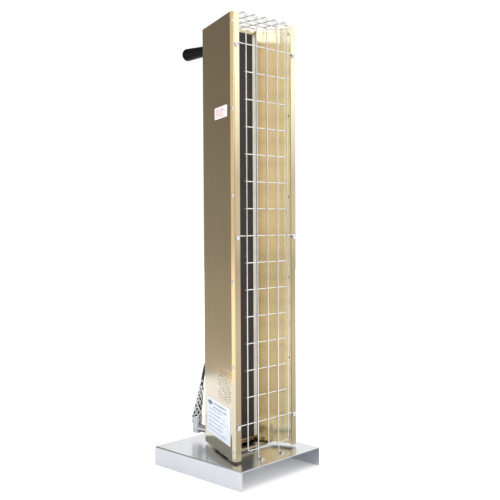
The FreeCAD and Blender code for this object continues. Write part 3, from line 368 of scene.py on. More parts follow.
@dataclass(frozen=True)
class SheetFinish:
    """Rolled or brushed metal sheet, which may carry painted reflections: a colour on faces turned
    one way, darker low down, and a paler colour below a height.
    """

    name: str
    tint: Rgb
    shade: Rgb
    stretch: Point
    glossy: float
    dull: float
    depth: float = 0.00002
    scale: float = 700.0
    dust: float = 0.12
    marks: float = 0.15
    relief: float = 0.35
    # Painted reflection: a colour for faces turned towards an axis, and a darker one for these faces
    # low down.
    faced: tuple[Rgb, Axis] | None = None
    low_facing_reflection: Rgb | None = None
    low_reflection_span: tuple[float, float] = (0.8, 1.08)
    # Painted reflection: a paler colour below a height, standing in for the bright floor that the
    # lower panel reflects.
    foot: Rgb | None = None
    floor_reflection_span: tuple[float, float] = (0.255, 0.285)

    def material(self, effects: Effects) -> bpy.types.Material:
        """The finish as a material.

        Args:
            effects: The shared surface effects.

        Returns:
            The material.
        """
        coat = Coat(self.name, effects)
        grain = coat.effect(effects.grain, Vector=coat.spot, Stretch=self.stretch,
                            Scale=self.scale)
        worn = coat.effect(effects.handling, Vector=coat.spot, Size=self.marks,
                           Glossy=self.glossy, Dull=self.dull)
        tone = coat.effect(effects.drift, Vector=coat.spot, Streak=grain.outputs["Mask"],
                           First=self.tint, Second=self.shade)
        nodes, base = coat.nodes, tone.outputs[0]
        # Painted reflection: below a set height the sheet turns paler, standing in for the bright
        # floor that the lower side panel reflects.
        if self.foot:
            level = nodes.add("ShaderNodeSeparateXYZ", {0: coat.spot}).outputs["Z"]
            base = nodes.blend(nodes.span(level, *self.floor_reflection_span, 1.0, 0.0), base,
                               (*self.foot, 1))
        # Painted reflection: faces turned towards the given axis take another colour, standing in for
        # what the front flanges and the base top reflect; on the gold front faces this colour is
        # darker low down.
        if self.faced:
            colour, axis = self.faced
            normal = nodes.add("ShaderNodeNewGeometry").outputs["Normal"]
            facing = nodes.add("ShaderNodeVectorMath", {0: normal, 1: axis.value},
                               operation="DOT_PRODUCT").outputs["Value"]
            seen = (*colour, 1)
            if self.low_facing_reflection:
                height = nodes.add("ShaderNodeSeparateXYZ", {0: coat.spot}).outputs["Z"]
                seen = nodes.blend(nodes.span(height, *self.low_reflection_span, 0.0, 1.0),
                                   (*self.low_facing_reflection, 1), seen)
            base = nodes.blend(nodes.span(facing, 0.3, 0.95, 0.0, 1.0), base, seen)
        dusty = coat.effect(effects.settled, Vector=coat.spot, Base=base, Amount=self.dust)
        coat.feed(Base_Color=dusty.outputs["Color"], Metallic=dusty.outputs["Metallic"],
                  Roughness=worn.outputs["Roughness"])
        coat.bump(grain.outputs["Height"], self.relief, self.depth)
        return coat.material


@dataclass(frozen=True)
class MirrorFinish:
    """Polished gold sheet with painted light and shade: paler towards the front as a painted
    reflection, browner and darker towards the emitter as painted shade, in upright painted reflection
    bands.
    """

    name: str = "gold_mirror"
    pale: Rgb = (0.73, 0.68, 0.52)
    tint: Rgb = (0.63, 0.55, 0.39)
    shade_brown: Rgb = (0.54, 0.46, 0.32)
    front: float = -0.132
    deep: float = -0.03

    def material(self, effects: Effects) -> bpy.types.Material:
        """The finish as a material.

        Args:
            effects: The shared surface effects.

        Returns:
            The material.
        """
        coat = Coat(self.name, effects)
        nodes = coat.nodes
        grain = coat.effect(effects.grain, Vector=coat.spot, Stretch=ALONG, Scale=500.0)
        # Painted reflection: slow upright bands of lighter and darker gold across the sheet.
        reflection_bands = nodes.noise(nodes.vector("MULTIPLY", coat.spot, (1.0, 1.0, 0.004)), 55.0, 1, 0.4)
        # Painted light and shade: the colour runs from pale at the front to brown deep towards the
        # emitter, broken by the bands.
        depth = nodes.add("ShaderNodeSeparateXYZ", {0: coat.spot}).outputs["Y"]
        along = nodes.math("ADD", nodes.span(depth, self.front, self.deep, 0.0, 1.0),
                           nodes.math("MULTIPLY_ADD", reflection_bands, 1.1, -0.55))
        front_lit_mix = nodes.blend(nodes.span(along, 0.05, 0.45, 0.0, 1.0), (*self.pale, 1),
                           (*self.tint, 1))
        deep_shaded_mix = nodes.blend(nodes.span(along, 0.5, 0.95, 0.0, 1.0), front_lit_mix, (*self.shade_brown, 1))
        worn = coat.effect(effects.handling, Vector=coat.spot, Size=0.2, Glossy=0.12, Dull=0.17)
        coat.shader.inputs["Metallic"].default_value = 1.0
        coat.feed(Base_Color=deep_shaded_mix, Roughness=worn.outputs["Roughness"])
        coat.bump(grain.outputs["Height"], 0.06, 0.00001)
        return coat.material


@dataclass(frozen=True)
class MouldedFinish:
    """Moulded plastic, rubber or glazed ceramic with a fine skin."""

    name: str
    tint: Rgb
    shade: Rgb
    glossy: float
    dull: float
    skin: float = 2500.0
    depth: float = 0.00002
    shine: float = 0.5
    dust: float = 0.1

    def material(self, effects: Effects) -> bpy.types.Material:
        """The finish as a material.

        Args:
            effects: The shared surface effects.

        Returns:
            The material.
        """
        coat = Coat(self.name, effects, Specular_IOR_Level=self.shine)
        worn = coat.effect(effects.handling, Vector=coat.spot, Size=0.03, Glossy=self.glossy,
                           Dull=self.dull)
        tone = coat.effect(effects.drift, Vector=coat.spot, Size=0.05,
                           Streak=worn.outputs["Mask"], First=self.tint, Second=self.shade)
        dusty = coat.effect(effects.settled, Vector=coat.spot, Base=tone.outputs[0],
                            Amount=self.dust)
        coat.feed(Base_Color=dusty.outputs["Color"], Roughness=worn.outputs["Roughness"])
        coat.bump(coat.nodes.noise(coat.spot, self.skin, 3, 0.6), 0.3, self.depth)
        return coat.material


@dataclass(frozen=True)
class EmitterFinish:
    """Charcoal high-heat coating, mottled and faintly browned."""

    name: str = "emitter_coating"
    tint: Rgb = (0.028, 0.026, 0.024)
    shade: Rgb = (0.05, 0.043, 0.038)

    def material(self, effects: Effects) -> bpy.types.Material:
        """The finish as a material.

        Args:
            effects: The shared surface effects.

        Returns:
            The material.
        """
        coat = Coat(self.name, effects, Specular_IOR_Level=0.35)
        streak = coat.effect(effects.grain, Vector=coat.spot, Stretch=(1.0, 1.0, 0.02),
                             Scale=300.0)
        tone = coat.effect(effects.drift, Vector=coat.spot, Size=0.12,
                           Streak=streak.outputs["Mask"], First=self.tint, Second=self.shade)
        worn = coat.effect(effects.handling, Vector=coat.spot, Size=0.02, Glossy=0.5, Dull=0.75)
        coat.feed(Base_Color=tone.outputs[0], Roughness=worn.outputs["Roughness"])
        coat.bump(coat.nodes.noise(coat.spot, 1800.0, 4, 0.7), 0.5, 0.00008)
        return coat.material


@dataclass(frozen=True)
class FibreFinish:
    """Pressed mineral fibre board, off-white with short loose fibres."""

    name: str = "fibre_board"
    tint: Rgb = (0.82, 0.8, 0.76)
    shade: Rgb = (0.68, 0.64, 0.57)

    def material(self, effects: Effects) -> bpy.types.Material:
        """The finish as a material.

        Args:
            effects: The shared surface effects.

        Returns:
            The material.
        """
        coat = Coat(self.name, effects, Roughness=0.95, Sheen_Weight=0.2)
        fibres = coat.effect(effects.grain, Vector=coat.spot, Stretch=(1.0, 0.25, 0.35),
                             Scale=900.0)
        tone = coat.effect(effects.drift, Vector=coat.spot, Size=0.06,
                           Streak=fibres.outputs["Mask"], First=self.tint, Second=self.shade)
        coat.feed(Base_Color=tone.outputs[0])
        coat.bump(fibres.outputs["Height"], 0.8, 0.0005)
        return coat.material


@dataclass(frozen=True)
class StickerFinish:
    """A paper-faced sticker with rows of blank ruled dashes, and perhaps a plain oval."""

    name: str
    ink: Rgb
    width: float
    height: float
    pitch: float
    thick: float
    oval: bool = False
    paper: Rgb = (0.86, 0.88, 0.9)

    def material(self, effects: Effects) -> bpy.types.Material:
        """The finish as a material.

        Args:
            effects: The shared surface effects.

        Returns:
            The material.
        """
        coat = Coat(self.name, effects, Coat_Weight=0.25, Coat_Roughness=0.2)
        nodes = coat.nodes
        spot = nodes.add("ShaderNodeSeparateXYZ", {0: coat.sheet}).outputs
        top = 0.72 if self.oval else 0.86
        lines = coat.effect(effects.dashes, Across=spot["X"], Up=spot["Y"], Pitch=self.pitch,
                            Left=0.07 * self.width, Right=0.9 * self.width,
                            Low=0.12 * self.height, High=top * self.height, Thick=self.thick)
        tone = coat.effect(effects.drift, Vector=coat.spot, Size=0.04, First=self.paper,
                           Second=tuple(0.94 * c for c in self.paper))
        inked = nodes.blend(lines.outputs[0], tone.outputs[0], (*self.ink, 1))
        if self.oval:
            aside = nodes.math("DIVIDE", nodes.math("SUBTRACT", spot["X"], 0.14 * self.width),
                               0.1 * self.width)
            above = nodes.math("DIVIDE", nodes.math("SUBTRACT", spot["Y"], 0.87 * self.height),
                               0.065 * self.height)
            reach = nodes.math("ADD", nodes.math("MULTIPLY", aside, aside),
                               nodes.math("MULTIPLY", above, above))
            ring = nodes.math("LESS_THAN", reach, 1.0)
            inked = nodes.blend(ring, inked, (0.1, 0.12, 0.17, 1))
            heading = coat.effect(effects.dashes, Across=spot["X"], Up=spot["Y"], Pitch=0.011,
                                  Left=0.28 * self.width, Right=0.98 * self.width,
                                  Low=0.74 * self.height, High=0.97 * self.height, Thick=0.36)
            inked = nodes.blend(heading.outputs[0], inked, (0.16, 0.18, 0.24, 1))
        worn = coat.effect(effects.handling, Vector=coat.spot, Size=0.03, Glossy=0.35, Dull=0.55)
        coat.feed(Base_Color=inked, Roughness=worn.outputs["Roughness"])
        coat.bump(nodes.noise(coat.spot, 1500.0, 2, 0.5), 0.15, 0.00002)
        return coat.material


ALONG, ACROSS, ROUND = (1.0, 1.0, 0.012), (0.012, 1.0, 1.0), (1.0, 1.0, 1.0)


class Finishes:
    """Every finish of the heater, made once and handed out by name."""

    def __init__(self, effects: Effects) -> None:
        """Makes the materials.

        Args:
            effects: The shared surface effects.
        """
        made = (
            # gold_sheet carries painted reflections: a pale front-face colour, darker below about 0.8
            # m, and a paler colour below about 0.27 m on the side panel.
            SheetFinish("gold_sheet", (0.77, 0.6, 0.35), (0.71, 0.53, 0.29), ALONG, 0.13, 0.19,
                        depth=0.00001, relief=0.08, faced=((0.6, 0.55, 0.39), Axis.FRONT),
                        low_facing_reflection=(0.32, 0.26, 0.17), foot=(0.6, 0.54, 0.43)),
            MirrorFinish(),
            # base_steel's paler colour on faces that look up is a painted reflection on the base top.
            SheetFinish("base_steel", (0.62, 0.635, 0.685), (0.58, 0.595, 0.645), ACROSS, 0.2,
                        0.28, depth=0.00001, dust=0.06, relief=0.15,
                        faced=((0.83, 0.86, 0.88), Axis.UP)),
            SheetFinish("zinc_steel", (0.72, 0.73, 0.74), (0.56, 0.57, 0.6), ROUND, 0.22, 0.4),
            SheetFinish("guard_chrome", (0.7, 0.7, 0.71), (0.56, 0.56, 0.56), ROUND, 0.12, 0.28),
            SheetFinish("fitting_cast", (0.6, 0.61, 0.63), (0.42, 0.43, 0.45), ROUND, 0.14, 0.34,
                        depth=0.00008, scale=500.0),
            SheetFinish("grip_wire", (0.85, 0.86, 0.88), (0.7, 0.71, 0.73), ROUND, 0.12, 0.26,
                        dust=0.0),
            SheetFinish("resistance_strip", (0.42, 0.37, 0.32), (0.3, 0.25, 0.21), ALONG, 0.3,
                        0.5),
            SheetFinish("mark_bronze", (0.3, 0.24, 0.16), (0.24, 0.19, 0.12), ROUND, 0.3, 0.5,
                        dust=0.0),
            MouldedFinish("handle_plastic", (0.003, 0.003, 0.003), (0.006, 0.006, 0.006), 0.14,
                          0.26, shine=0.08, dust=0.0),
            MouldedFinish("plug_rubber", (0.012, 0.012, 0.013), (0.022, 0.022, 0.023), 0.4, 0.6),
            MouldedFinish("cord_rubber", (0.014, 0.014, 0.015), (0.028, 0.028, 0.028), 0.38, 0.6,
                          skin=1600.0, depth=0.00005),
            MouldedFinish("lead_jacket", (0.55, 0.52, 0.45), (0.46, 0.42, 0.35), 0.45, 0.6),
            MouldedFinish("switch_case", (0.03, 0.03, 0.034), (0.045, 0.045, 0.05), 0.3, 0.45),
            MouldedFinish("strap_weave", (0.016, 0.016, 0.018), (0.03, 0.03, 0.033), 0.7, 0.9,
                          skin=900.0, depth=0.0003),
            MouldedFinish("glazed_ceramic", (0.8, 0.78, 0.72), (0.72, 0.69, 0.62), 0.15, 0.3),
            EmitterFinish(),
            FibreFinish(),
            StickerFinish("upper_sticker", (0.62, 0.16, 0.2), 0.094, 0.031, 0.0042, 0.45),
            StickerFinish("lower_sticker", (0.2, 0.24, 0.36), 0.182, 0.101, 0.0115, 0.22, True,
                          (0.72, 0.78, 0.88)),
        )
        self.made = {finish.name: finish.material(effects) for finish in made}

    def __getitem__(self, name: str) -> bpy.types.Material:
        """One material by its finish's name."""
        return self.made[name]

    def dress(self, finish: str, *nodes: str) -> None:
        """Gives carried-over frame nodes a finish.

        Args:
            finish: The finish's name.
            *nodes: The frame nodes.
        """
        for name in nodes:
            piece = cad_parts[name]
            for socket in piece.material_slots:
                socket.material = self.made[finish]
            LOG.info("dressed %s in %s", name, finish)


# ---------------------------------------------------------------- making meshes


def finish_piece(piece: bpy.types.Object, material: bpy.types.Material | None, slot: str,
                 *replaced: str, body: str = HEATER) -> bpy.types.Object:
    """Dresses a piece, sets it on its body and names what it stands for.

    Args:
        piece: The piece, in place.
        material: Its material, or None where it has one.
        slot: The material slot's name; not used.
        *replaced: The frame nodes that it stands for.
        body: The body that it rides on.

    Returns:
        The piece.
    """
    if material is not None:
        piece.data.materials.clear()
        piece.data.materials.append(material)
    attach(piece, body)
    if replaced:
        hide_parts(*replaced)
    LOG.info("built %s for %s", piece.name, ", ".join(replaced) or "trim")
    return piece


def set_down(name: str, shape: bmesh.types.BMesh, matrix: Matrix | None = None,
             sharp: float = 35.0) -> bpy.types.Object:
    """Turns a bmesh into an object at the origin, with its place in its mesh.

    Args:
        name: The object's name.
        shape: The shape, which is freed.
        matrix: Where it goes.
        sharp: Edges that turn more than this many degrees stay sharp.

    Returns:
        The object.
    """
    bmesh.ops.remove_doubles(shape, verts=shape.verts, dist=1e-6)
    if matrix is not None:
        bmesh.ops.transform(shape, matrix=matrix, verts=shape.verts)
    bmesh.ops.recalc_face_normals(shape, faces=shape.faces)
    mesh = bpy.data.meshes.new(name)
    shape.to_mesh(mesh)
    shape.free()
    mesh.shade_smooth()
    mesh.set_sharp_from_angle(angle=math.radians(sharp))
    piece = bpy.data.objects.new(name, mesh)
    bpy.context.scene.collection.objects.link(piece)
    return piece


def lathe(shape: bmesh.types.BMesh, profile: Sequence[tuple[float, float]], sides: int,
          matrix: Matrix | None = None) -> None:
    """Turns a profile about +Z into a closed skin.

    Args:
        shape: The bmesh that it is added to.
        profile: Heights and radii, from one pole to the other.
        sides: Faces round the axis.
        matrix: Where the turned shape goes.
    """
    matrix = matrix or Matrix.Identity(4)
    rings = []
    for height, radius in profile:
        if radius < 1e-7:
            rings.append([shape.verts.new(matrix @ Vector((0, 0, height)))] * sides)
            continue
        rings.append([shape.verts.new(matrix @ Vector((
            radius * math.cos(2 * math.pi * i / sides),
            radius * math.sin(2 * math.pi * i / sides), height))) for i in range(sides)])
    for low, high in zip(rings, rings[1:]):
        for i in range(sides):
            j = (i + 1) % sides
            corners = []
            for vertex in (low[i], low[j], high[j], high[i]):
                if vertex not in corners:
                    corners.append(vertex)
            if len(corners) > 2:
                shape.faces.new(corners)


def arc_profile(height: float, radius: float, rounding: float,
                steps: int = 8) -> list[tuple[float, float]]:
    """The rounded rim of a turned piece, ending on its axis.

    Args:
        height: Where it meets the axis.
        radius: The radius before the rounding.
        rounding: The rounding's radius.
        steps: Steps round the quarter turn.

    Returns:
        Heights and radii.
    """
    points = []
    for i in range(steps + 1):
        turn = math.pi / 2 * i / steps
        points.append((height - rounding + rounding * math.sin(turn),
                       radius - rounding + rounding * math.cos(turn)))
    return points + [(height, 0.0)]


def plain(holder: bpy.types.Object) -> bpy.types.Object:
    """Bakes an object's modifiers into a plain mesh and drops them.

    Args:
        holder: The object.

    Returns:
        The same object.
    """
    depsgraph = bpy.context.evaluated_depsgraph_get()
    mesh = bpy.data.meshes.new_from_object(holder.evaluated_get(depsgraph), depsgraph=depsgraph,
                                           preserve_all_data_layers=True)
    holder.modifiers.clear()
    holder.data = mesh
    mesh.name = holder.name
    return holder


def grow(name: str, tree: bpy.types.NodeTree, values: dict[str, object],
         start: bpy.types.Mesh | None = None) -> bpy.types.Object:
    """Runs a Geometry Nodes tree and keeps its result as a plain mesh.

    Args:
        name: The object's name.
        tree: The tree.
        values: The tree's inputs by name.
        start: The mesh that it starts from.

    Returns:
        The object.
    """
    holder = bpy.data.objects.new(name, start or bpy.data.meshes.new(name + "_start"))
    bpy.context.scene.collection.objects.link(holder)
    modifier = holder.modifiers.new("grow", "NODES")
    modifier.node_group = tree
    for item in tree.interface.items_tree:
        if item.item_type == "SOCKET" and item.in_out == "INPUT" and item.name in values:
            modifier[item.identifier] = values[item.name]
    return plain(holder)


@dataclass(frozen=True)
class Softbox:
    """A square soft light that the camera does not see."""

    name: str
    place: Point
    target: Point
    size: float
    power: float

    def build(self) -> None:
        """Hangs the light and aims it."""
        data = bpy.data.lights.new(self.name, "AREA")
        data.size, data.energy = self.size, self.power
        light = bpy.data.objects.new(self.name, data)
        light.location = self.place
        aim = Vector(self.place) - Vector(self.target)
        light.rotation_euler = aim.to_track_quat("Z", "Y").to_euler()
        light.visible_camera = False
        bpy.context.scene.collection.objects.link(light)


class Studio:
    """The pale floor, the soft lights, the reflected dark card and the camera."""

    EYE: Point = (-1.589, -1.607, 0.692)
    YAW, PITCH, ROLL = math.radians(45.99), math.radians(2.17), math.radians(-0.29)
    LENS, SENSOR = 57.96, 36
    ROOM_SEEN, ROOM_LIT = 1.05, 0.93
    FLOOR_RADIUS = 9
    FLOOR_GLOW, FLOOR_REACH = (0.14, 0.7), (0.5, 3.0)
    CARD_LEFT, CARD_RIGHT, CARD_BACK, CARD_TOP = -1.1, 0.8, 1.33, 2.6
    CARD_GREYS = ((0.0, 0.56), (0.12, 0.45), (0.35, 0.32), (0.7, 0.24), (1.0, 0.2))
    CARD_FADE = 1.6
    LIGHTS = (Softbox("front_softbox", (2.0, -2.4, 1.5), (0, 0, 0.6), 2.2, 15.5),
              Softbox("top_softbox", (-0.3, -0.6, 3.4), (0, 0, 0.4), 2.6, 50),
              Softbox("left_softbox", (-2.7, -0.45, 1.75), (0, 0, 1.1), 1.3, 12))

    def build(self) -> None:
        """Sets up everything round the heater."""
        self.camera()
        self.surroundings()
        self.floor()
        self.dark_card()
        for light in self.LIGHTS:
            light.build()
        LOG.info("studio set up")

    def camera(self) -> None:
        """Makes the camera and hands it to the scene."""
        forward = Vector((math.sin(self.YAW) * math.cos(self.PITCH),
                          math.cos(self.YAW) * math.cos(self.PITCH), -math.sin(self.PITCH)))
        level = Vector((math.cos(self.YAW), -math.sin(self.YAW), 0))
        upright = level.cross(forward)
        right = math.cos(self.ROLL) * level + math.sin(self.ROLL) * upright
        up = -math.sin(self.ROLL) * level + math.cos(self.ROLL) * upright
        data = bpy.data.cameras.new("camera")
        data.lens, data.sensor_width = self.LENS, self.SENSOR
        camera = bpy.data.objects.new("camera", data)
        camera.matrix_world = Matrix((
            (right.x, up.x, -forward.x, self.EYE[0]), (right.y, up.y, -forward.y, self.EYE[1]),
            (right.z, up.z, -forward.z, self.EYE[2]), (0, 0, 0, 1)))
        bpy.context.scene.collection.objects.link(camera)
        bpy.context.scene.camera = camera

    def surroundings(self) -> None:
        """A white room, a little softer for what it lights than for what is seen."""
        bpy.context.scene.view_settings.view_transform = "Standard"
        world = bpy.data.worlds.new("white_room")
        bpy.context.scene.world = world
        world.use_nodes = True
        nodes = Nodes(world.node_tree)
        world.node_tree.nodes.clear()
        seen = nodes.add("ShaderNodeBackground", {"Color": (1, 1, 1, 1),
                                                     "Strength": self.ROOM_SEEN})
        lit = nodes.add("ShaderNodeBackground", {"Color": (1, 0.995, 0.985, 1),
                                                    "Strength": self.ROOM_LIT})
        share = nodes.add("ShaderNodeLightPath").outputs["Is Camera Ray"]
        mixed = nodes.add("ShaderNodeMixShader", {0: share, 1: lit.outputs[0],
                                                  2: seen.outputs[0]})
        nodes.add("ShaderNodeOutputWorld", {"Surface": mixed.outputs[0]})

    def floor(self) -> None:
        """A wide pale floor."""
        shape = bmesh.new()
        bmesh.ops.create_circle(shape, cap_ends=True, segments=96,
                                radius=self.FLOOR_RADIUS)
        piece = set_down("floor", shape)
        material = bpy.data.materials.new("floor_paper")
        material.use_nodes = True
        nodes = Nodes(material.node_tree)
        shader = material.node_tree.nodes["Principled BSDF"]
        spot = nodes.add("ShaderNodeTexCoord").outputs["Object"]
        tone = nodes.span(nodes.noise(spot, 3.0), 0.3, 0.7, 0.9, 0.93)
        reach = nodes.add("ShaderNodeVectorMath", {0: spot}, operation="LENGTH").outputs["Value"]
        nodes.put(shader, "Emission Strength", nodes.span(
            reach, *self.FLOOR_REACH, *self.FLOOR_GLOW))
        nodes.put(shader, "Base Color", nodes.add("ShaderNodeCombineColor", {
            0: tone, 1: tone, 2: tone}).outputs[0])
        shader.inputs["Roughness"].default_value = 0.7
        shader.inputs["Emission Color"].default_value = (1, 1, 1, 1)
        piece.data.materials.append(material)

    def dark_card(self) -> None:
        """A tall card behind the heater that only its polished sheet reflects."""
        shape = bmesh.new()
        corners = [shape.verts.new((x, self.CARD_BACK, z)) for x, z in (
            (self.CARD_LEFT, 0), (self.CARD_RIGHT, 0), (self.CARD_RIGHT, self.CARD_TOP),
            (self.CARD_LEFT, self.CARD_TOP))]
        shape.faces.new(corners)
        piece = set_down("dark_card", shape)
        material = bpy.data.materials.new("card_grey")
        material.use_nodes = True
        nodes = Nodes(material.node_tree)
        material.node_tree.nodes.clear()
        spot = nodes.add("ShaderNodeTexCoord").outputs["Object"]
        level = nodes.add("ShaderNodeSeparateXYZ", {0: spot}).outputs["Z"]
        ramp = nodes.add("ShaderNodeValToRGB", {
            0: nodes.span(level, 0.0, self.CARD_FADE, 0.0, 1.0)})
        ramp.color_ramp.elements.remove(ramp.color_ramp.elements[1])
        for i, (spot_on, grey) in enumerate(self.CARD_GREYS):
            stop = ramp.color_ramp.elements[0] if i == 0 else ramp.color_ramp.elements.new(spot_on)
            stop.position, stop.color = spot_on, (grey, grey, grey * 0.97, 1)
        glow = nodes.add("ShaderNodeEmission", {"Color": ramp.outputs[0]})
        nodes.add("ShaderNodeOutputMaterial", {"Surface": glow.outputs[0]})
        piece.data.materials.append(material)
        for kind in ("camera", "diffuse", "shadow", "transmission", "volume_scatter"):
            setattr(piece, "visible_" + kind, False)


# ---------------------------------------------------------------- fasteners


class Recess(Enum):
    """The way a screw is driven."""

    CROSS = "cross"
    HEX = "hex"


@dataclass
class Fastener:
    """One screw or bolt, turned with its head on +Z and its seat at the origin."""

    name: str
    head_radius: float
    head_height: float
    shank_radius: float
    shank_length: float
    drive: Recess = Recess.CROSS

    def template(self) -> bpy.types.Object:
        """Builds the fastener's shape, which its row is copied from.

        Returns:
            The object.
        """
        shape = bmesh.new()
        tip = -self.shank_length
        shank = [(tip, 0.0), (tip, self.shank_radius * 0.7),
                 (tip + self.shank_radius, self.shank_radius), (0.0, self.shank_radius)]
        if self.drive is Recess.HEX:
            lathe(shape, shank + [(0.0, self.head_radius * 1.12),
                                  (self.head_height * 0.16, self.head_radius * 1.12),
                                  (self.head_height * 0.2, self.head_radius * 1.05),
                                  (self.head_height * 0.2, 0.0)], 24)
            across = self.head_radius / math.cos(math.pi / 6)
            bmesh.ops.create_cone(shape, cap_ends=True, segments=6, radius1=across,
                                  radius2=across, depth=self.head_height * 0.85,
                                  matrix=Matrix.Translation((0, 0, self.head_height * 0.575)))
            rim = [e for e in shape.edges if all(
                abs(v.co.z - self.head_height) < 1e-6 for v in e.verts)]
            bmesh.ops.bevel(shape, geom=rim, offset=self.head_radius * 0.1, segments=2,
                            affect="EDGES")
            piece = set_down(self.name + "_template", shape)
        else:
            dome = [(0.0, self.head_radius), (self.head_height * 0.3, self.head_radius)]
            for i in range(1, 7):
                turn = math.pi / 2 * i / 6
                dome.append((self.head_height * (0.3 + 0.7 * math.sin(turn)),
                             self.head_radius * math.cos(turn) if i < 6 else 0.0))
            lathe(shape, shank + dome, 28)
            piece = set_down(self.name + "_template", shape)
            self.cut_cross(piece)
        return piece

    def cut_cross(self, piece: bpy.types.Object) -> None:
        """Cuts a cross recess into the head.

        Args:
            piece: The fastener being cut.
        """
        long, short, deep = self.head_radius * 0.62, self.head_radius * 0.17, self.head_height
        shape = bmesh.new()
        for x, y in ((long, short), (short, long)):
            box = bmesh.ops.create_cube(shape, size=2)["verts"]
            for vertex in box:
                taper = 0.45 if vertex.co.z < 0 else 1.0
                vertex.co = Vector((vertex.co.x * x * taper, vertex.co.y * y * taper,
                                    deep * 0.95 + vertex.co.z * deep * 0.5))
        cutter = set_down(self.name + "_cutter", shape)
        modifier = piece.modifiers.new("recess", "BOOLEAN")
        modifier.operation, modifier.solver, modifier.object = "DIFFERENCE", "EXACT", cutter
        modifier.use_self = True
        plain(piece)
        piece.data.set_sharp_from_angle(angle=math.radians(35))
        bpy.data.objects.remove(cutter)


class FastenerSetter:
    """Sets a fastener at each of a list of spots, turned at random about its own axis."""

    def __init__(self) -> None:
        """Builds the tree once."""
        nodes, takes, out = open_group("set_fasteners", "GeometryNodeTree", {
            "Spots": "geometry", "Fastener": "object", "Finish": "material", "Seed": 0},
            {"Geometry": "geometry"})
        facing = nodes.add("GeometryNodeInputNamedAttribute", {"Name": "facing"},
                           data_type="FLOAT_VECTOR").outputs[0]
        aimed = nodes.add("FunctionNodeAlignRotationToVector", {"Vector": facing}, axis="Z")
        turn = nodes.add("FunctionNodeRandomValue", {"Seed": takes["Seed"]}, data_type="FLOAT")
        nodes.put(turn, 3, 2 * math.pi)
        twist = nodes.add("FunctionNodeAxisAngleToRotation", {"Angle": turn.outputs[1]})
        both = nodes.add("FunctionNodeRotateRotation", {0: aimed.outputs[0],
                                                        1: twist.outputs[0]},
                         rotation_space="LOCAL")
        shape = nodes.add("GeometryNodeObjectInfo", {"Object": takes["Fastener"]})
        set_out = nodes.add("GeometryNodeInstanceOnPoints", {
            "Points": takes["Spots"], "Instance": shape.outputs["Geometry"],
            "Rotation": both.outputs[0]})
        real = nodes.add("GeometryNodeRealizeInstances", {0: set_out.outputs[0]})
        dressed = nodes.add("GeometryNodeSetMaterial", {"Geometry": real.outputs[0],
                                                        "Material": takes["Finish"]})
        nodes.put(out, 0, dressed.outputs[0])
        self.tree = nodes.tree

    def place(self, name: str, fastener: Fastener, spots: Sequence[tuple[Point, Axis]],
              finish: bpy.types.Material, slot: str, replaced: str,
              seed: int = 1) -> bpy.types.Object:
        """Sets out a row of fasteners as one piece.

        Args:
            name: The piece's name.
            fastener: What is set at each spot.
            spots: Each seat's place and the way its head faces.
            finish: The material.
            slot: The material slot's name.
            replaced: The frame node that the piece stands for.
            seed: The seed of the turns.

        Returns:
            The piece.
        """
        mesh = bpy.data.meshes.new(name + "_spots")
        mesh.from_pydata([spot for spot, _ in spots], [], [])
        facing = mesh.attributes.new("facing", "FLOAT_VECTOR", "POINT")
        facing.data.foreach_set("vector", [c for _, axis in spots for c in axis.value])
        template = fastener.template()
        piece = grow(name, self.tree, {"Fastener": template, "Finish": finish, "Seed": seed},
                     mesh)
        bpy.data.objects.remove(template)
        return finish_piece(piece, None, slot, replaced)


# ---------------------------------------------------------------- base and column


@dataclass
class Base:
    """The channel base with the bolts that hold the column to it."""

    setter: FastenerSetter
    bolt: Fastener = field(default_factory=lambda: Fastener(
        "base_bolt", 5.5 * MM, 4 * MM, 3 * MM, 14 * MM, Recess.HEX))
    foot_screw: Fastener = field(default_factory=lambda: Fastener(
        "foot_screw", 4.5 * MM, 2.4 * MM, 2 * MM, 12 * MM))
    front_half: float = 40 * MM
    back_half: float = 18 * MM

    def build(self, finishes: Finishes) -> None:
        """Dresses the channel and sets its fasteners.

        Args:
            finishes: The heater's finishes.
        """
        finishes.dress("base_steel", "base_channel")
        finishes.dress("zinc_steel", "base_spacers", "base_nuts", "guard_foot_nuts")
        low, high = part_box("base_bolts")
        seat = high.z - self.bolt.head_height
        edge = self.bolt.head_radius
        spots = [((side * self.front_half, low.y + edge, seat), Axis.UP) for side in (-1, 1)]
        spots += [((side * self.back_half, high.y - edge, seat), Axis.UP) for side in (-1, 1)]
        self.setter.place("base_bolt_set", self.bolt, spots, finishes["zinc_steel"], "zinc_steel",
                          "base_bolts", 3)
        low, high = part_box("guard_foot_screws")
        edge = self.foot_screw.head_radius
        middle = (low.y + high.y) / 2
        spots = [((x, middle, high.z - self.foot_screw.head_height), Axis.UP)
                 for x in (low.x + edge, high.x - edge)]
        self.setter.place("foot_screw_set", self.foot_screw, spots, finishes["zinc_steel"],
                          "zinc_steel", "guard_foot_screws", 5)


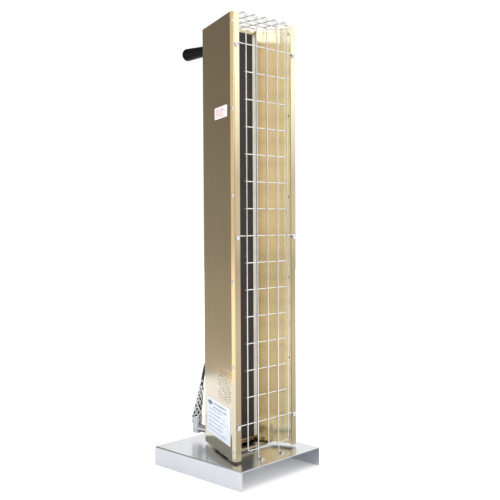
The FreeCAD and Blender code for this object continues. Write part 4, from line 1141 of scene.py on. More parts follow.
@dataclass
class Column:
    """The folded housing, its end plates and its screws."""

    setter: FastenerSetter
    screw: Fastener = field(default_factory=lambda: Fastener(
        "sheet_screw", 4.5 * MM, 2.4 * MM, 2 * MM, 8 * MM))
    side_rows: int = 6
    guard_rows: int = 3

    def build(self, finishes: Finishes) -> None:
        """Dresses the sheets and sets the screws.

        Args:
            finishes: The heater's finishes.
        """
        finishes.dress("gold_sheet", "housing_shell", "lower_end_plate", "upper_end_plate")
        finishes.dress("zinc_steel", "handle_brace", "lower_hanger", "middle_hanger",
                       "upper_hanger")
        head = self.screw.head_height
        edge = self.screw.head_radius
        low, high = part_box("side_screws")
        middle = (low.y + high.y) / 2
        spots = [((x, middle, z), axis)
                 for x, axis in ((low.x + head, Axis.LEFT), (high.x - head, Axis.RIGHT))
                 for z in self.rows(low.z + edge, high.z - edge, self.side_rows)]
        self.set_row("side_screw_set", spots, finishes, "side_screws", 7)
        low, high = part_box("guard_screws")
        spots = [((x, low.y + head, z), Axis.FRONT) for x in (low.x + edge, high.x - edge)
                 for z in self.rows(low.z + edge, high.z - edge, self.guard_rows)]
        self.set_row("guard_screw_set", spots, finishes, "guard_screws", 11)
        low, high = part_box("rear_screws")
        spots = [((x, high.y - head, z), Axis.BACK) for x in (low.x + edge, high.x - edge)
                 for z in self.rows(low.z + edge, high.z - edge, self.guard_rows)]
        self.set_row("rear_screw_set", spots, finishes, "rear_screws", 13)

    def set_row(self, name: str, spots: list, finishes: Finishes, node: str, seed: int) -> None:
        """Sets one group of the column's screws."""
        self.setter.place(name, self.screw, spots, finishes["zinc_steel"], "zinc_steel", node,
                          seed)

    @staticmethod
    def rows(low: float, high: float, count: int) -> list[float]:
        """Evenly spaced heights from low to high."""
        return [low + (high - low) * i / (count - 1) for i in range(count)]


# ---------------------------------------------------------------- emitter


@dataclass
class Emitter:
    """The ribbed emitter face with its board, pan, rails and mirrors."""

    ribs: int = 24
    rib_width: float = 2.4 * MM
    rib_height: float = 0.7 * MM

    def build(self, finishes: Finishes) -> None:
        """Dresses the stack and builds the ribbed face.

        Args:
            finishes: The heater's finishes.
        """
        finishes.dress("gold_mirror", "left_reflector", "right_reflector")
        finishes.dress("gold_sheet", "lower_emitter_rail", "upper_emitter_rail")
        finishes.dress("zinc_steel", "emitter_pan", "element_terminals", "terminal_screws")
        finishes.dress("fibre_board", "insulation_board")
        finishes.dress("resistance_strip", "heating_element")
        finishes.dress("glazed_ceramic", "ceramic_bushings", "terminal_block")
        finishes.dress("lead_jacket", "supply_leads", "element_leads", "switch_leads")
        low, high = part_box("emitter_panel")
        tree = self.rib_tree()
        piece = grow("ribbed_emitter_face", tree, {
            "Low": low, "High": high, "Ribs": self.ribs, "Rib Width": self.rib_width,
            "Rib Height": self.rib_height, "Finish": finishes["emitter_coating"]})
        finish_piece(piece, None, "emitter_face", "emitter_panel")

    @staticmethod
    def rib_tree() -> bpy.types.NodeTree:
        """A plate with evenly spaced upright ribs on its front.

        Returns:
            The tree.
        """
        nodes, takes, out = open_group("ribbed_plate", "GeometryNodeTree", {
            "Low": Vector((0, 0, 0)), "High": Vector((1, 1, 1)), "Ribs": 12,
            "Rib Width": 0.002, "Rib Height": 0.0007, "Finish": "material"},
            {"Geometry": "geometry"})
        size = nodes.vector("SUBTRACT", takes["High"], takes["Low"])
        middle = nodes.vector("MULTIPLY", nodes.vector("ADD", takes["High"], takes["Low"]),
                              (0.5, 0.5, 0.5))
        part = nodes.add("ShaderNodeSeparateXYZ", {0: size}).outputs
        centre = nodes.add("ShaderNodeSeparateXYZ", {0: middle}).outputs
        first = nodes.add("ShaderNodeSeparateXYZ", {0: takes["Low"]}).outputs
        depth = nodes.math("SUBTRACT", part["Y"], takes["Rib Height"])
        plate_size = nodes.add("ShaderNodeCombineXYZ", {"X": part["X"], "Y": depth,
                                                        "Z": part["Z"]}).outputs[0]
        plate = nodes.add("GeometryNodeMeshCube", {"Size": plate_size})
        plate_y = nodes.math("MULTIPLY_ADD", takes["Rib Height"], 0.5, centre["Y"])
        plate_at = nodes.add("ShaderNodeCombineXYZ", {"X": centre["X"], "Y": plate_y,
                                                      "Z": centre["Z"]}).outputs[0]
        plate_set = nodes.add("GeometryNodeTransform", {"Geometry": plate.outputs[0],
                                                        "Translation": plate_at})
        pitch = nodes.math("DIVIDE", part["X"], takes["Ribs"])
        start = nodes.add("ShaderNodeCombineXYZ", {
            "X": nodes.math("MULTIPLY_ADD", pitch, 0.5, first["X"]),
            "Y": nodes.math("MULTIPLY_ADD", takes["Rib Height"], 0.5, first["Y"]),
            "Z": centre["Z"]}).outputs[0]
        step = nodes.add("ShaderNodeCombineXYZ", {"X": pitch}).outputs[0]
        line = nodes.add("GeometryNodeMeshLine", {"Count": takes["Ribs"],
                                                  "Start Location": start, "Offset": step})
        rib_size = nodes.add("ShaderNodeCombineXYZ", {
            "X": takes["Rib Width"], "Y": takes["Rib Height"], "Z": part["Z"]}).outputs[0]
        rib = nodes.add("GeometryNodeMeshCube", {"Size": rib_size})
        ribs = nodes.add("GeometryNodeInstanceOnPoints", {"Points": line.outputs[0],
                                                          "Instance": rib.outputs[0]})
        both = nodes.add("GeometryNodeJoinGeometry")
        nodes.tree.links.new(plate_set.outputs[0], both.inputs[0])
        nodes.tree.links.new(ribs.outputs[0], both.inputs[0])
        real = nodes.add("GeometryNodeRealizeInstances", {0: both.outputs[0]})
        dressed = nodes.add("GeometryNodeSetMaterial", {"Geometry": real.outputs[0],
                                                        "Material": takes["Finish"]})
        nodes.put(out, 0, dressed.outputs[0])
        return nodes.tree


# ---------------------------------------------------------------- guard


class Mark(Enum):
    """What stands at a loose point of the guard's plan."""

    WELD = 1
    FRONT_EYE = 2
    FOOT_EYE = 3


@dataclass
class Guard:
    """The welded wire guard: long wires, rows, the open top's rows, welds and screw eyes."""

    wire: float = 1.6 * MM
    bend: float = 8 * MM
    eye: float = 5 * MM
    pitch: float = 40 * MM
    rise: float = 71.2 * MM
    first: float = 79.7 * MM
    rows: int = 16
    clip_rows: tuple[int, ...] = (1, 8, 15)
    clip_half: float = 110.5 * MM
    row_half: float = 83.2 * MM
    front: float = -138.5 * MM
    behind: float = -135.6 * MM
    foot_eye: tuple[float, float] = (-153 * MM, 53.6 * MM)
    top_long: float = 1230.5 * MM
    top_row: float = 1227.6 * MM
    top_pitch: float = 30 * MM
    top_first: float = -119 * MM
    top_half: float = 108.1 * MM
    top_rows: int = 5
    taper: float = 0.4365
    weld_gap: float = 0.3 * MM
    weld_size: float = 1.15

    def build(self, finishes: Finishes) -> None:
        """Builds the guard in place of its frame node.

        Args:
            finishes: The heater's finishes.
        """
        points, edges, marks = self.plan()
        mesh = bpy.data.meshes.new("guard_plan")
        mesh.from_pydata(points, edges, [])
        kind = mesh.attributes.new("kind", "INT", "POINT")
        kind.data.foreach_set("value", marks)
        piece = grow("welded_guard", self.wire_tree(), {
            "Wire": self.wire, "Bend": self.bend, "Eye": self.eye, "Weld": self.wire * self.weld_size,
            "Finish": finishes["guard_chrome"]}, mesh)
        piece.data.shade_smooth()
        piece.data.set_sharp_from_angle(angle=math.radians(50))
        finish_piece(piece, None, "guard_wire", "wire_guard")

    def plan(self) -> tuple[list[Point], list[tuple[int, int]], list[int]]:
        """The guard's centre lines, and its loose points for welds and eyes.

        Returns:
            The points, the edges between them, and each point's mark.
        """
        points: list[Point] = []
        edges: list[tuple[int, int]] = []
        marks: list[int] = []

        def run(*path: Point) -> None:
            """Adds one wire through its bends."""
            edges.extend((len(points) + i, len(points) + i + 1) for i in range(len(path) - 1))
            points.extend(path)
            marks.extend([0] * len(path))

        def dot(mark: Mark, *places: Point) -> None:
            """Adds loose points with a mark."""
            points.extend(places)
            marks.extend([mark.value] * len(places))

        lines = [self.pitch * i for i in range(-2, 3)]
        ends = {x: self.top_first + self.top_pitch * (2 if abs(x) > 1.5 * self.pitch else 4)
                + 2 * self.wire for x in lines}
        side, inner = lines[4], lines[3]
        run((-side, ends[side], self.top_long), (-side, self.front, self.top_long),
            (-side, self.front, self.first), (side, self.front, self.first),
            (side, self.front, self.top_long), (side, ends[side], self.top_long))
        run((0, self.front, self.first), (0, self.front, self.top_long),
            (0, ends[0.0], self.top_long))
        eye_y, eye_z = self.foot_eye
        for x in (-inner, inner):
            run((x, eye_y + self.eye, eye_z), (x, self.front, eye_z),
                (x, self.front, self.top_long), (x, ends[x], self.top_long))
            dot(Mark.FOOT_EYE, (x, eye_y, eye_z))
            dot(Mark.WELD, (x, self.front, self.first))
        between = (self.front + self.behind) / 2
        for row in range(1, self.rows):
            z = self.first + self.rise * row
            half = self.clip_half if row in self.clip_rows else self.row_half
            run((-half, self.behind, z), (half, self.behind, z))
            dot(Mark.WELD, *((x, between, z) for x in lines))
            if row in self.clip_rows:
                drop = z - self.eye - self.weld_gap
                dot(Mark.FRONT_EYE, (-half, self.behind, drop), (half, self.behind, drop))
        height = (self.top_long + self.top_row) / 2
        for row in range(self.top_rows):
            y = self.top_first + self.top_pitch * row
            half = self.top_half - self.taper * self.top_pitch * row
            run((-half, y, self.top_row), (half, y, self.top_row))
            dot(Mark.WELD, *((x, y, height) for x in lines if y < ends[x]))
        return points, edges, marks

    @staticmethod
    def wire_tree() -> bpy.types.NodeTree:
        """Round wire along the plan's edges, with welds and eyes at its marked points.

        Returns:
            The tree.
        """
        nodes, takes, out = open_group("welded_wire", "GeometryNodeTree", {
            "Plan": "geometry", "Wire": 0.0016, "Bend": 0.008, "Eye": 0.005, "Weld": 0.0018,
            "Finish": "material"}, {"Geometry": "geometry"})
        kind = nodes.add("GeometryNodeInputNamedAttribute", {"Name": "kind"},
                         data_type="INT").outputs[0]
        lines = nodes.add("GeometryNodeMeshToCurve", {0: takes["Plan"]})
        bent = nodes.add("GeometryNodeFilletCurve", {"Curve": lines.outputs[0],
                                                     "Radius": takes["Bend"]})
        bent.mode = "POLY"
        nodes.put(bent, "Count", 8)
        round_wire = nodes.add("GeometryNodeCurvePrimitiveCircle", {"Resolution": 14,
                                                                    "Radius": takes["Wire"]})
        solid = nodes.add("GeometryNodeCurveToMesh", {
            "Curve": bent.outputs[0], "Profile Curve": round_wire.outputs[0],
            "Fill Caps": True})
        loop = nodes.add("GeometryNodeCurvePrimitiveCircle", {"Resolution": 26,
                                                              "Radius": takes["Eye"]})
        ring = nodes.add("GeometryNodeCurveToMesh", {"Curve": loop.outputs[0],
                                                     "Profile Curve": round_wire.outputs[0]})
        bead = nodes.add("GeometryNodeMeshUVSphere", {"Segments": 8, "Rings": 5,
                                                      "Radius": takes["Weld"]})
        joined = nodes.add("GeometryNodeJoinGeometry")
        nodes.tree.links.new(solid.outputs[0], joined.inputs[0])
        for mark, shape, turn in ((Mark.WELD, bead, (0, 0, 0)),
                                  (Mark.FRONT_EYE, ring, (math.pi / 2, 0, 0)),
                                  (Mark.FOOT_EYE, ring, (0, 0, 0))):
            picked = nodes.add("FunctionNodeCompare", data_type="INT", operation="EQUAL")
            nodes.put(picked, 2, kind)
            nodes.put(picked, 3, mark.value)
            spots = nodes.add("GeometryNodeInstanceOnPoints", {
                "Points": takes["Plan"], "Selection": picked.outputs[0],
                "Instance": shape.outputs[0], "Rotation": turn})
            nodes.tree.links.new(spots.outputs[0], joined.inputs[0])
        real = nodes.add("GeometryNodeRealizeInstances", {0: joined.outputs[0]})
        dressed = nodes.add("GeometryNodeSetMaterial", {"Geometry": real.outputs[0],
                                                        "Material": takes["Finish"]})
        nodes.put(out, 0, dressed.outputs[0])
        return nodes.tree


# ---------------------------------------------------------------- handle


@dataclass
class Handle:
    """The turned black grip on the back panel, with its stud, washer and nut."""

    root: float = 13.5 * MM
    end: float = 18.5 * MM
    rounding: float = 12 * MM
    bore: float = 4.2 * MM
    bore_depth: float = 60 * MM
    sides: int = 72

    def build(self, finishes: Finishes) -> None:
        """Turns the grip and dresses its fixings.

        Args:
            finishes: The heater's finishes.
        """
        finishes.dress("zinc_steel", "handle_stud", "handle_washer", "handle_nut")
        low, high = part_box("handle_grip")
        reach = high.y - low.y
        middle = (low.z + high.z) / 2
        profile = [(self.bore_depth, 0.0), (self.bore_depth, self.bore), (0.0, self.bore),
                   (0.0, self.root - 1.5 * MM),
                   (0.4 * MM, self.root - 0.5 * MM), (1.6 * MM, self.root)]
        for i in range(1, 10):
            along = (reach - self.rounding) * i / 9
            profile.append((along, self.root + (self.end - self.root) * along / reach))
        shape = bmesh.new()
        rim = self.root + (self.end - self.root) * (reach - self.rounding) / reach
        lathe(shape, profile + arc_profile(reach, rim, self.rounding, 12)[1:], self.sides)
        place = Matrix.Translation((0, low.y, middle)) @ Axis.BACK.turn()
        piece = set_down("turned_grip", shape, place, 40)
        finish_piece(piece, finishes["handle_plastic"], "black_plastic", "handle_grip")


# ---------------------------------------------------------------- cord


@dataclass
class WovenGrip:
    """The tapered wire-mesh sleeve that grips the cord: two sets of strands, woven."""

    WIRES, SPREAD = 3.0, 2.08
    root: Point = (-17.5 * MM, 129 * MM, 121.4 * MM)
    tip: Point = (-5.75 * MM, 121.25 * MM, 208.4 * MM)
    root_radius: float = 12.9 * MM
    tip_radius: float = 5.7 * MM
    wire: float = 0.68 * MM
    strands: int = 6
    turns: float = 0.75
    weave: float = 0.7 * MM
    liner_gap: float = 1.9 * MM

    def build(self, finishes: Finishes) -> bpy.types.Object:
        """Weaves the sleeve in place of its frame node.

        Args:
            finishes: The heater's finishes.

        Returns:
            The piece.
        """
        piece = grow("woven_cord_grip", self.weave_tree(), {
            "Root": Vector(self.root), "Tip": Vector(self.tip), "Root Radius": self.root_radius,
            "Tip Radius": self.tip_radius, "Wire": self.wire, "Strands": self.strands,
            "Turns": self.turns, "Weave": self.weave, "Liner Gap": self.liner_gap,
            "Finish": finishes["grip_wire"], "Liner Finish": finishes["cord_rubber"]})
        piece.data.shade_smooth()
        piece.data.set_sharp_from_angle(angle=math.radians(50))
        return finish_piece(piece, None, "fitting_metal", "cord_grip")

    @staticmethod
    def weave_tree() -> bpy.types.NodeTree:
        """Strands of three wires wound both ways up a cone, over and under, on a liner.

        Returns:
            The tree.
        """
        nodes, takes, out = open_group("woven_sleeve", "GeometryNodeTree", {
            "Root": Vector((0, 0, 0)), "Tip": Vector((0, 0, 1)), "Root Radius": 0.014,
            "Tip Radius": 0.006, "Wire": 0.0006, "Strands": 6, "Turns": 0.75, "Weave": 0.0007,
            "Liner Gap": 0.002, "Finish": "material", "Liner Finish": "material"},
            {"Geometry": "geometry"})
        line = nodes.add("GeometryNodeCurvePrimitiveLine", {"End": (0, 0, 1)})
        fine = nodes.add("GeometryNodeResampleCurve", {"Curve": line.outputs[0], "Count": 64})
        joined = nodes.add("GeometryNodeJoinGeometry")
        share = nodes.add("GeometryNodeSplineParameter").outputs["Factor"]
        axis = nodes.add("ShaderNodeMix", data_type="VECTOR")
        nodes.put(axis, 0, share)
        nodes.put(axis, 4, takes["Root"])
        nodes.put(axis, 5, takes["Tip"])
        size = nodes.span(share, 0.0, 1.0, takes["Root Radius"], takes["Tip Radius"])
        whole = nodes.math("MULTIPLY", nodes.math("MULTIPLY", share, takes["Turns"]),
                           2 * math.pi)
        wave = nodes.math("COSINE", nodes.math("MULTIPLY", whole, takes["Strands"]))
        aside = nodes.math("DIVIDE", nodes.math("MULTIPLY", takes["Wire"], WovenGrip.SPREAD),
                           size)
        for hand in (1.0, -1.0):
            copies = nodes.add("GeometryNodeDuplicateElements", {
                "Geometry": fine.outputs[0],
                "Amount": nodes.math("MULTIPLY", takes["Strands"], WovenGrip.WIRES)}, domain="SPLINE")
            index = copies.outputs["Duplicate Index"]
            strand = nodes.math("FLOOR", nodes.math("DIVIDE", index, WovenGrip.WIRES))
            place = nodes.math("SUBTRACT", nodes.math("MODULO", index, WovenGrip.WIRES), 1.0)
            start = nodes.math("DIVIDE", nodes.math("MULTIPLY", strand, 2 * math.pi),
                               takes["Strands"])
            angle = nodes.math("ADD", nodes.math("MULTIPLY_ADD", whole, hand, start),
                               nodes.math("MULTIPLY", place, aside))
            reach = nodes.math("MULTIPLY_ADD", nodes.math("MULTIPLY", wave, hand),
                               takes["Weave"], size)
            spot = nodes.add("ShaderNodeCombineXYZ", {
                "X": nodes.math("MULTIPLY", reach, nodes.math("COSINE", angle)),
                "Y": nodes.math("MULTIPLY", reach, nodes.math("SINE", angle))}).outputs[0]
            moved = nodes.add("GeometryNodeSetPosition", {
                "Geometry": copies.outputs[0],
                "Position": nodes.vector("ADD", axis.outputs[1], spot)})
            nodes.tree.links.new(moved.outputs[0], joined.inputs[0])
        profile = nodes.add("GeometryNodeCurvePrimitiveCircle", {"Resolution": 6,
                                                                 "Radius": takes["Wire"]})
        solid = nodes.add("GeometryNodeCurveToMesh", {
            "Curve": joined.outputs[0], "Profile Curve": profile.outputs[0], "Fill Caps": True})
        real = nodes.add("GeometryNodeRealizeInstances", {0: solid.outputs[0]})
        dressed = nodes.add("GeometryNodeSetMaterial", {"Geometry": real.outputs[0],
                                                        "Material": takes["Finish"]})
        both = nodes.add("GeometryNodeJoinGeometry")
        nodes.tree.links.new(dressed.outputs[0], both.inputs[0])
        nodes.tree.links.new(WovenGrip.liner(nodes, takes), both.inputs[0])
        nodes.put(out, 0, both.outputs[0])
        return nodes.tree

    @staticmethod
    def liner(nodes: Nodes, takes: dict) -> bpy.types.NodeSocket:
        """The dark cone under the wires, leaning as the sleeve does.

        Args:
            nodes: The sleeve's nodes.
            takes: The sleeve's inputs.

        Returns:
            The dressed cone.
        """
        way = nodes.vector("SUBTRACT", takes["Tip"], takes["Root"])
        height = nodes.add("ShaderNodeSeparateXYZ", {0: way}).outputs["Z"]
        cone = nodes.add("GeometryNodeMeshCone", {
            "Vertices": 40, "Side Segments": 6, "Depth": height,
            "Radius Top": nodes.math("SUBTRACT", takes["Tip Radius"], nodes.math(
                "MULTIPLY", takes["Liner Gap"], 0.6)),
            "Radius Bottom": nodes.math("SUBTRACT", takes["Root Radius"], takes["Liner Gap"])})
        spot = nodes.add("ShaderNodeSeparateXYZ", {
            0: nodes.add("GeometryNodeInputPosition").outputs[0]}).outputs
        axis = nodes.add("ShaderNodeMix", data_type="VECTOR")
        nodes.put(axis, 0, nodes.math("DIVIDE", spot["Z"], height))
        nodes.put(axis, 4, takes["Root"])
        nodes.put(axis, 5, takes["Tip"])
        flat = nodes.add("ShaderNodeCombineXYZ", {"X": spot["X"], "Y": spot["Y"]}).outputs[0]
        leaned = nodes.add("GeometryNodeSetPosition", {
            "Geometry": cone.outputs[0], "Position": nodes.vector("ADD", axis.outputs[1], flat)})
        return nodes.add("GeometryNodeSetMaterial", {
            "Geometry": leaned.outputs[0], "Material": takes["Liner Finish"]}).outputs[0]


@dataclass
class Cord:
    """The rubber cord with its fitting, woven grip, put-away coil, tie and plug."""

    ROUTE = (
        (-17.5, 129, 121), (-17.5, 129, 139), (-12.2, 125.4, 172), (-6.2, 121.4, 207),
        (-1.5, 119.2, 240), (7, 118.5, 270), (26, 118.8, 295), (55, 120, 307), (85, 123, 299),
        (106, 128.5, 274), (114, 136, 239), (116.5, 145.5, 200), (116, 156, 161),
        (114.5, 165, 124), (112.5, 172, 89), (113, 176.5, 56), (124, 178.5, 27),
        (149, 178, 9.5), (172, 178.3, 5.7), (194, 178, 5.5))
    TAIL = ((238, 178, 14.1), (251, 177.6, 13.8), (263, 178, 13.2), (274, 178, 13.2))
    diameter: float = 8.6 * MM
    centre: tuple[float, float] = (216 * MM, 240.5 * MM)
    outer: float = 62.5 * MM
    inner: float = 40.75 * MM
    floor_level: float = 5.5 * MM
    turns: int = 5
    steps: int = 20
    climb: float = 60.0

    def build(self, finishes: Finishes) -> None:
        """Builds the cord and what is on it.

        Args:
            finishes: The heater's finishes.
        """
        finishes.dress("zinc_steel", "elbow_locknut", "plug_pins")
        finishes.dress("fitting_cast", "cord_elbow")
        finishes.dress("strap_weave", "cord_tie")
        ridden = [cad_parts["cord_tie"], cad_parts["plug_pins"], self.plug(finishes),
                  self.band(finishes), WovenGrip().build(finishes)]
        self.clamp_nut(finishes)
        data = bpy.data.curves.new("supply_cord", "CURVE")
        data.dimensions = "3D"
        spline = data.splines.new("NURBS")
        points = self.points()
        spline.points.add(len(points) - 1)
        for point, place in zip(spline.points, points):
            point.co = (*place, 1)
        spline.order_u = 3
        spline.use_endpoint_u = True
        spline.resolution_u = 6
        piece = bpy.data.objects.new("supply_cord", data)
        bpy.context.scene.collection.objects.link(piece)
        line = bpy.data.meshes.new_from_object(piece)
        bpy.data.meshes.remove(line)
        data.bevel_depth, data.bevel_resolution = self.diameter / 2, 5
        data.use_fill_caps = True
        finish_piece(piece, finishes["cord_rubber"], "cord_rubber", "power_cord", "cord_coil",
                     "cord_tail")

    @staticmethod
    def metres(point: Sequence[float]) -> Vector:
        """A point of the route in metres."""
        return Vector(point) * MM

    @staticmethod
    def plug(finishes: Finishes) -> bpy.types.Object:
        """The plug's moulded body: a ringed strain relief and a waisted barrel.

        Args:
            finishes: The heater's finishes.

        Returns:
            The piece.
        """
        low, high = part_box("plug_body")
        reach = high.x - low.x
        profile = [(0.0, 0.0), (0.0, 5.0 * MM)]
        for i in range(6):
            at = (1.5 + 3 * i) * MM
            radius = (5.3 + 0.72 * i) * MM
            profile += [(at - 0.9 * MM, radius), (at + 0.9 * MM, radius + 0.2 * MM),
                        (at + 1.2 * MM, radius - 0.7 * MM), (at + 1.8 * MM, radius - 0.6 * MM)]
        profile += [(20.5 * MM, 11.5 * MM), (22 * MM, 12.6 * MM), (24 * MM, 12.9 * MM),
                    (33 * MM, 12.2 * MM), (42 * MM, 12.9 * MM), (reach - 1.2 * MM, 12.9 * MM),
                    (reach - 0.3 * MM, 12.5 * MM), (reach, 11.8 * MM), (reach, 0.0)]
        shape = bmesh.new()
        lathe(shape, profile, 48)
        place = Matrix.Translation((low.x, (low.y + high.y) / 2, (low.z + high.z) / 2))
        piece = set_down("moulded_plug", shape, place @ Axis.RIGHT.turn(), 40)
        return finish_piece(piece, finishes["plug_rubber"], "cord_rubber", "plug_body")

    def band(self, finishes: Finishes) -> bpy.types.Object:
        """The beaded band that closes the woven grip round the cord.

        Args:
            finishes: The heater's finishes.

        Returns:
            The piece.
        """
        start, end = self.metres(self.ROUTE[3]), self.metres(self.ROUTE[4])
        way = (end - start).normalized()
        low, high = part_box("grip_band")
        inner = self.diameter / 2 + 0.05 * MM
        radius = (high.x - low.x) / 2 - 0.8 * MM
        reach = 8 * MM
        profile = [(0.0, inner), (0.2 * MM, radius - 0.5 * MM)]
        for middle in (reach * 0.25, reach * 0.75):
            for i in range(7):
                turn = math.pi * i / 6
                profile.append((middle - 1.5 * MM * math.cos(turn),
                                radius - 0.9 * MM + 0.9 * MM * math.sin(turn)))
        profile += [(reach - 0.2 * MM, radius - 0.5 * MM), (reach, inner), (0.0, inner)]
        shape = bmesh.new()
        lathe(shape, profile, 40)
        place = Matrix.Translation(start + way * 10 * MM) @ way.to_track_quat(
            "Z", "Y").to_matrix().to_4x4()
        piece = set_down("beaded_band", shape, place, 40)
        return finish_piece(piece, finishes["fitting_cast"], "fitting_metal", "grip_band")

    @staticmethod
    def clamp_nut(finishes: Finishes) -> None:
        """The fitting's clamp nut, with a bright rim and flutes round its waist.

        Args:
            finishes: The heater's finishes.
        """
        low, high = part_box("grip_nut")
        radius, reach = (high.x - low.x) / 2, high.z - low.z
        sides = 96
        shape = bmesh.new()
        profile = [(0.0, 9 * MM), (0.0, radius - 1.4 * MM), (1.0 * MM, radius - 0.6 * MM),
                   (2.2 * MM, radius - 0.6 * MM), (2.8 * MM, radius - 1.6 * MM),
                   (13.2 * MM, radius - 1.6 * MM), (13.8 * MM, radius - 0.3 * MM),
                   (14.6 * MM, radius), (17.6 * MM, radius), (18.6 * MM, radius - 0.5 * MM),
                   (reach, radius - 2.2 * MM), (reach, 7 * MM), (0.0, 9 * MM)]
        lathe(shape, profile, sides)
        for vertex in shape.verts:
            out = math.hypot(vertex.co.x, vertex.co.y)
            if abs(out - radius + 1.6 * MM) < 1e-6:
                angle = math.atan2(vertex.co.y, vertex.co.x)
                swell = 1 + 0.8 * MM * max(0.0, math.cos(16 * angle)) / out
                vertex.co.x, vertex.co.y = vertex.co.x * swell, vertex.co.y * swell
        place = Matrix.Translation(((low.x + high.x) / 2, (low.y + high.y) / 2, low.z))
        piece = set_down("fluted_clamp_nut", shape, place, 40)
        finish_piece(piece, finishes["fitting_cast"], "fitting_metal", "grip_nut")

    def points(self) -> list[Vector]:
        """The cord's control points: the route, the turns of the coil, and the tail.

        Returns:
            The points in metres.
        """
        points = [self.metres(point) for point in self.ROUTE]
        total = self.turns * self.steps
        outward = 1 / (0.75 + 0.25 * math.cos(2 * math.pi / self.steps))
        half = self.turns * 180
        for i in range(total + 1):
            turned = 360 * i / self.steps
            share = abs(turned - half) / half
            radius = (self.inner + (self.outer - self.inner) * share) * outward
            climbed = min(1.0, max(0.0, (turned - half + self.climb) / (2 * self.climb)))
            rise = climbed * climbed * (3 - 2 * climbed) * self.diameter
            angle = math.radians(turned - 90)
            points.append(Vector((self.centre[0] + radius * math.cos(angle),
                                  self.centre[1] + radius * math.sin(angle),
                                  self.floor_level + rise)))
        return points + [self.metres(point) for point in self.TAIL]


# ---------------------------------------------------------------- labels and switch


@dataclass
class Sticker:
    """A thin sticker with rounded corners on the left side panel."""

    node: str
    finish: str
    corner: float = 2.5 * MM
    lift: float = 0.25 * MM

    def build(self, finishes: Finishes) -> None:
        """Builds the sticker where its frame node is, with a map in metres.

        Args:
            finishes: The heater's finishes.
        """
        low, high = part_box(self.node)
        run = Vector((high.x - low.x, high.y - low.y, 0))
        way = run.normalized()
        out = Vector((-way.y, way.x, 0))
        width = run.length
        height = high.z - low.z
        start, way = Vector((high.x, high.y, low.z)), -way
        shape = bmesh.new()
        layer = shape.loops.layers.uv.new("sheet")
        outline = self.outline(width, height)
        rings = []
        for depth in (0.0, self.lift):
            rings.append([shape.verts.new(start + way * u + Vector((0, 0, v)) + out * depth)
                          for u, v in outline])
        face = shape.faces.new(rings[1])
        for loop, (u, v) in zip(face.loops, outline):
            loop[layer].uv = (u, v)
        shape.faces.new(reversed(rings[0]))
        for i in range(len(outline)):
            j = (i + 1) % len(outline)
            shape.faces.new((rings[0][i], rings[0][j], rings[1][j], rings[1][i]))
        piece = set_down(self.node + "_sheet", shape)
        finish_piece(piece, finishes[self.finish], "label", self.node)

    def outline(self, width: float, height: float) -> list[tuple[float, float]]:
        """The sticker's rounded outline, in metres from its lower back corner.

        Args:
            width: The sticker's width.
            height: The sticker's height.

        Returns:
            The points in order.
        """
        points = []
        for cx, cy, start in ((width - self.corner, self.corner, -90),
                              (width - self.corner, height - self.corner, 0),
                              (self.corner, height - self.corner, 90),
                              (self.corner, self.corner, 180)):
            for i in range(7):
                angle = math.radians(start + 15 * i)
                points.append((cx + self.corner * math.cos(angle),
                               cy + self.corner * math.sin(angle)))
        return points


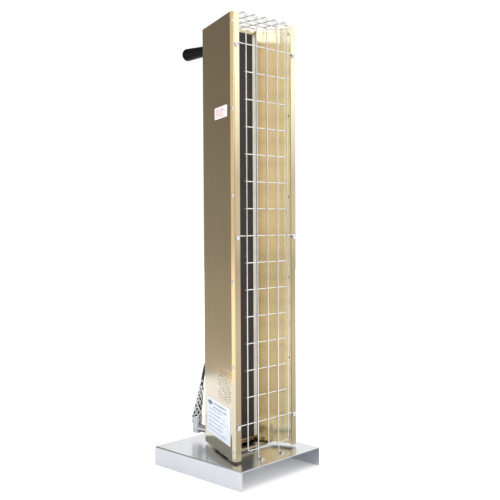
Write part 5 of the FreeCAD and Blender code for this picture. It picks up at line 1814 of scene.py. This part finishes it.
@dataclass
class EtchedMarks:
    """Rows of small dashes stamped on the left side panel above the lower sticker."""

    reach: float = 92 * MM
    ahead: float = 4 * MM
    blocks: tuple[tuple[float, float, int], ...] = (
        (250 * MM, 283 * MM, 6), (205 * MM, 244 * MM, 7))
    columns: int = 22
    thick: float = 0.12 * MM
    BLANK_SHARE, SHORTEST, LONGEST = 0.24, (0.45, 0.75, 1.0), (0.95, 1.15, 1.0)

    def build(self, finishes: Finishes) -> None:
        """Sets out both blocks along the panel, on the lower sticker's line.

        Args:
            finishes: The heater's finishes.
        """
        low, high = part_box("lower_label")
        way = Vector((high.x - low.x, high.y - low.y, 0)).normalized()
        across = math.atan2(way.y, way.x)
        tree = self.block_tree()
        for i, (bottom, top, rows) in enumerate(self.blocks):
            middle = Vector((low.x, low.y, 0)) + way * (self.reach / 2 - self.ahead)
            piece = grow(f"etched_block_{i + 1}", tree, {
                "Middle": Vector((middle.x, middle.y, (bottom + top) / 2)), "Turn": across,
                "Width": self.reach, "Height": top - bottom, "Columns": self.columns,
                "Rows": rows, "Thick": self.thick, "Seed": 21 + i,
                "Finish": finishes["mark_bronze"]})
            finish_piece(piece, None, "label")

    @staticmethod
    def block_tree() -> bpy.types.NodeTree:
        """A block of uneven dashes in rows, standing on an upright plane.

        Returns:
            The tree.
        """
        nodes, takes, out = open_group("dash_block", "GeometryNodeTree", {
            "Middle": Vector((0, 0, 0)), "Turn": 0.0, "Width": 0.1, "Height": 0.03,
            "Columns": 20, "Rows": 6, "Thick": 0.0001, "Seed": 1, "Finish": "material"},
            {"Geometry": "geometry"})
        grid = nodes.add("GeometryNodeMeshGrid", {
            "Size X": takes["Width"], "Size Y": takes["Height"], "Vertices X": takes["Columns"],
            "Vertices Y": takes["Rows"]})
        blank = nodes.add("FunctionNodeRandomValue", {"Seed": takes["Seed"]},
                          data_type="BOOLEAN")
        nodes.put(blank, "Probability", EtchedMarks.BLANK_SHARE)
        kept = nodes.add("GeometryNodeDeleteGeometry", {
            "Geometry": grid.outputs[0], "Selection": blank.outputs[3]}, domain="POINT")
        pitch = nodes.math("DIVIDE", takes["Width"], takes["Columns"])
        tall = nodes.math("DIVIDE", takes["Height"], nodes.math("MULTIPLY", takes["Rows"], 2.9))
        size = nodes.add("ShaderNodeCombineXYZ", {"X": pitch, "Y": tall, "Z": takes["Thick"]})
        dash = nodes.add("GeometryNodeMeshCube", {"Size": size.outputs[0]})
        stretch = nodes.add("FunctionNodeRandomValue", {"Seed": takes["Seed"]},
                            data_type="FLOAT_VECTOR")
        nodes.put(stretch, 0, EtchedMarks.SHORTEST)
        nodes.put(stretch, 1, EtchedMarks.LONGEST)
        marks = nodes.add("GeometryNodeInstanceOnPoints", {
            "Points": kept.outputs[0], "Instance": dash.outputs[0],
            "Scale": stretch.outputs[0]})
        upright = nodes.add("ShaderNodeCombineXYZ", {"X": math.pi / 2, "Z": takes["Turn"]})
        stood = nodes.add("GeometryNodeTransform", {
            "Geometry": marks.outputs[0], "Translation": takes["Middle"],
            "Rotation": upright.outputs[0]})
        real = nodes.add("GeometryNodeRealizeInstances", {0: stood.outputs[0]})
        dressed = nodes.add("GeometryNodeSetMaterial", {"Geometry": real.outputs[0],
                                                        "Material": takes["Finish"]})
        nodes.put(out, 0, dressed.outputs[0])
        return nodes.tree


@dataclass
class TipSwitch:
    """The tip-over switch under the base top."""

    def build(self, finishes: Finishes) -> None:
        """Dresses the switch.

        Args:
            finishes: The heater's finishes.
        """
        finishes.dress("switch_case", "tip_switch_body")
        finishes.dress("zinc_steel", "tip_switch_screws", "tip_switch_spring")
        finishes.dress("handle_plastic", "tip_switch_plunger")


def main() -> None:
    """Builds the whole model round the frame, piece by piece."""
    logging.basicConfig(level=logging.INFO, format="%(name)s: %(message)s")
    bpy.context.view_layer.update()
    Studio().build()
    finishes = Finishes(Effects())
    setter = FastenerSetter()
    Cord().build(finishes)
    for assembly in (Base(setter), Column(setter), Emitter(), Guard(), Handle(),
                     Sticker("upper_label", "upper_sticker"),
                     Sticker("lower_label", "lower_sticker"), EtchedMarks(), TipSwitch()):
        assembly.build(finishes)
        LOG.info("%s finished", type(assembly).__name__)


if __name__ == "__main__":
    main()
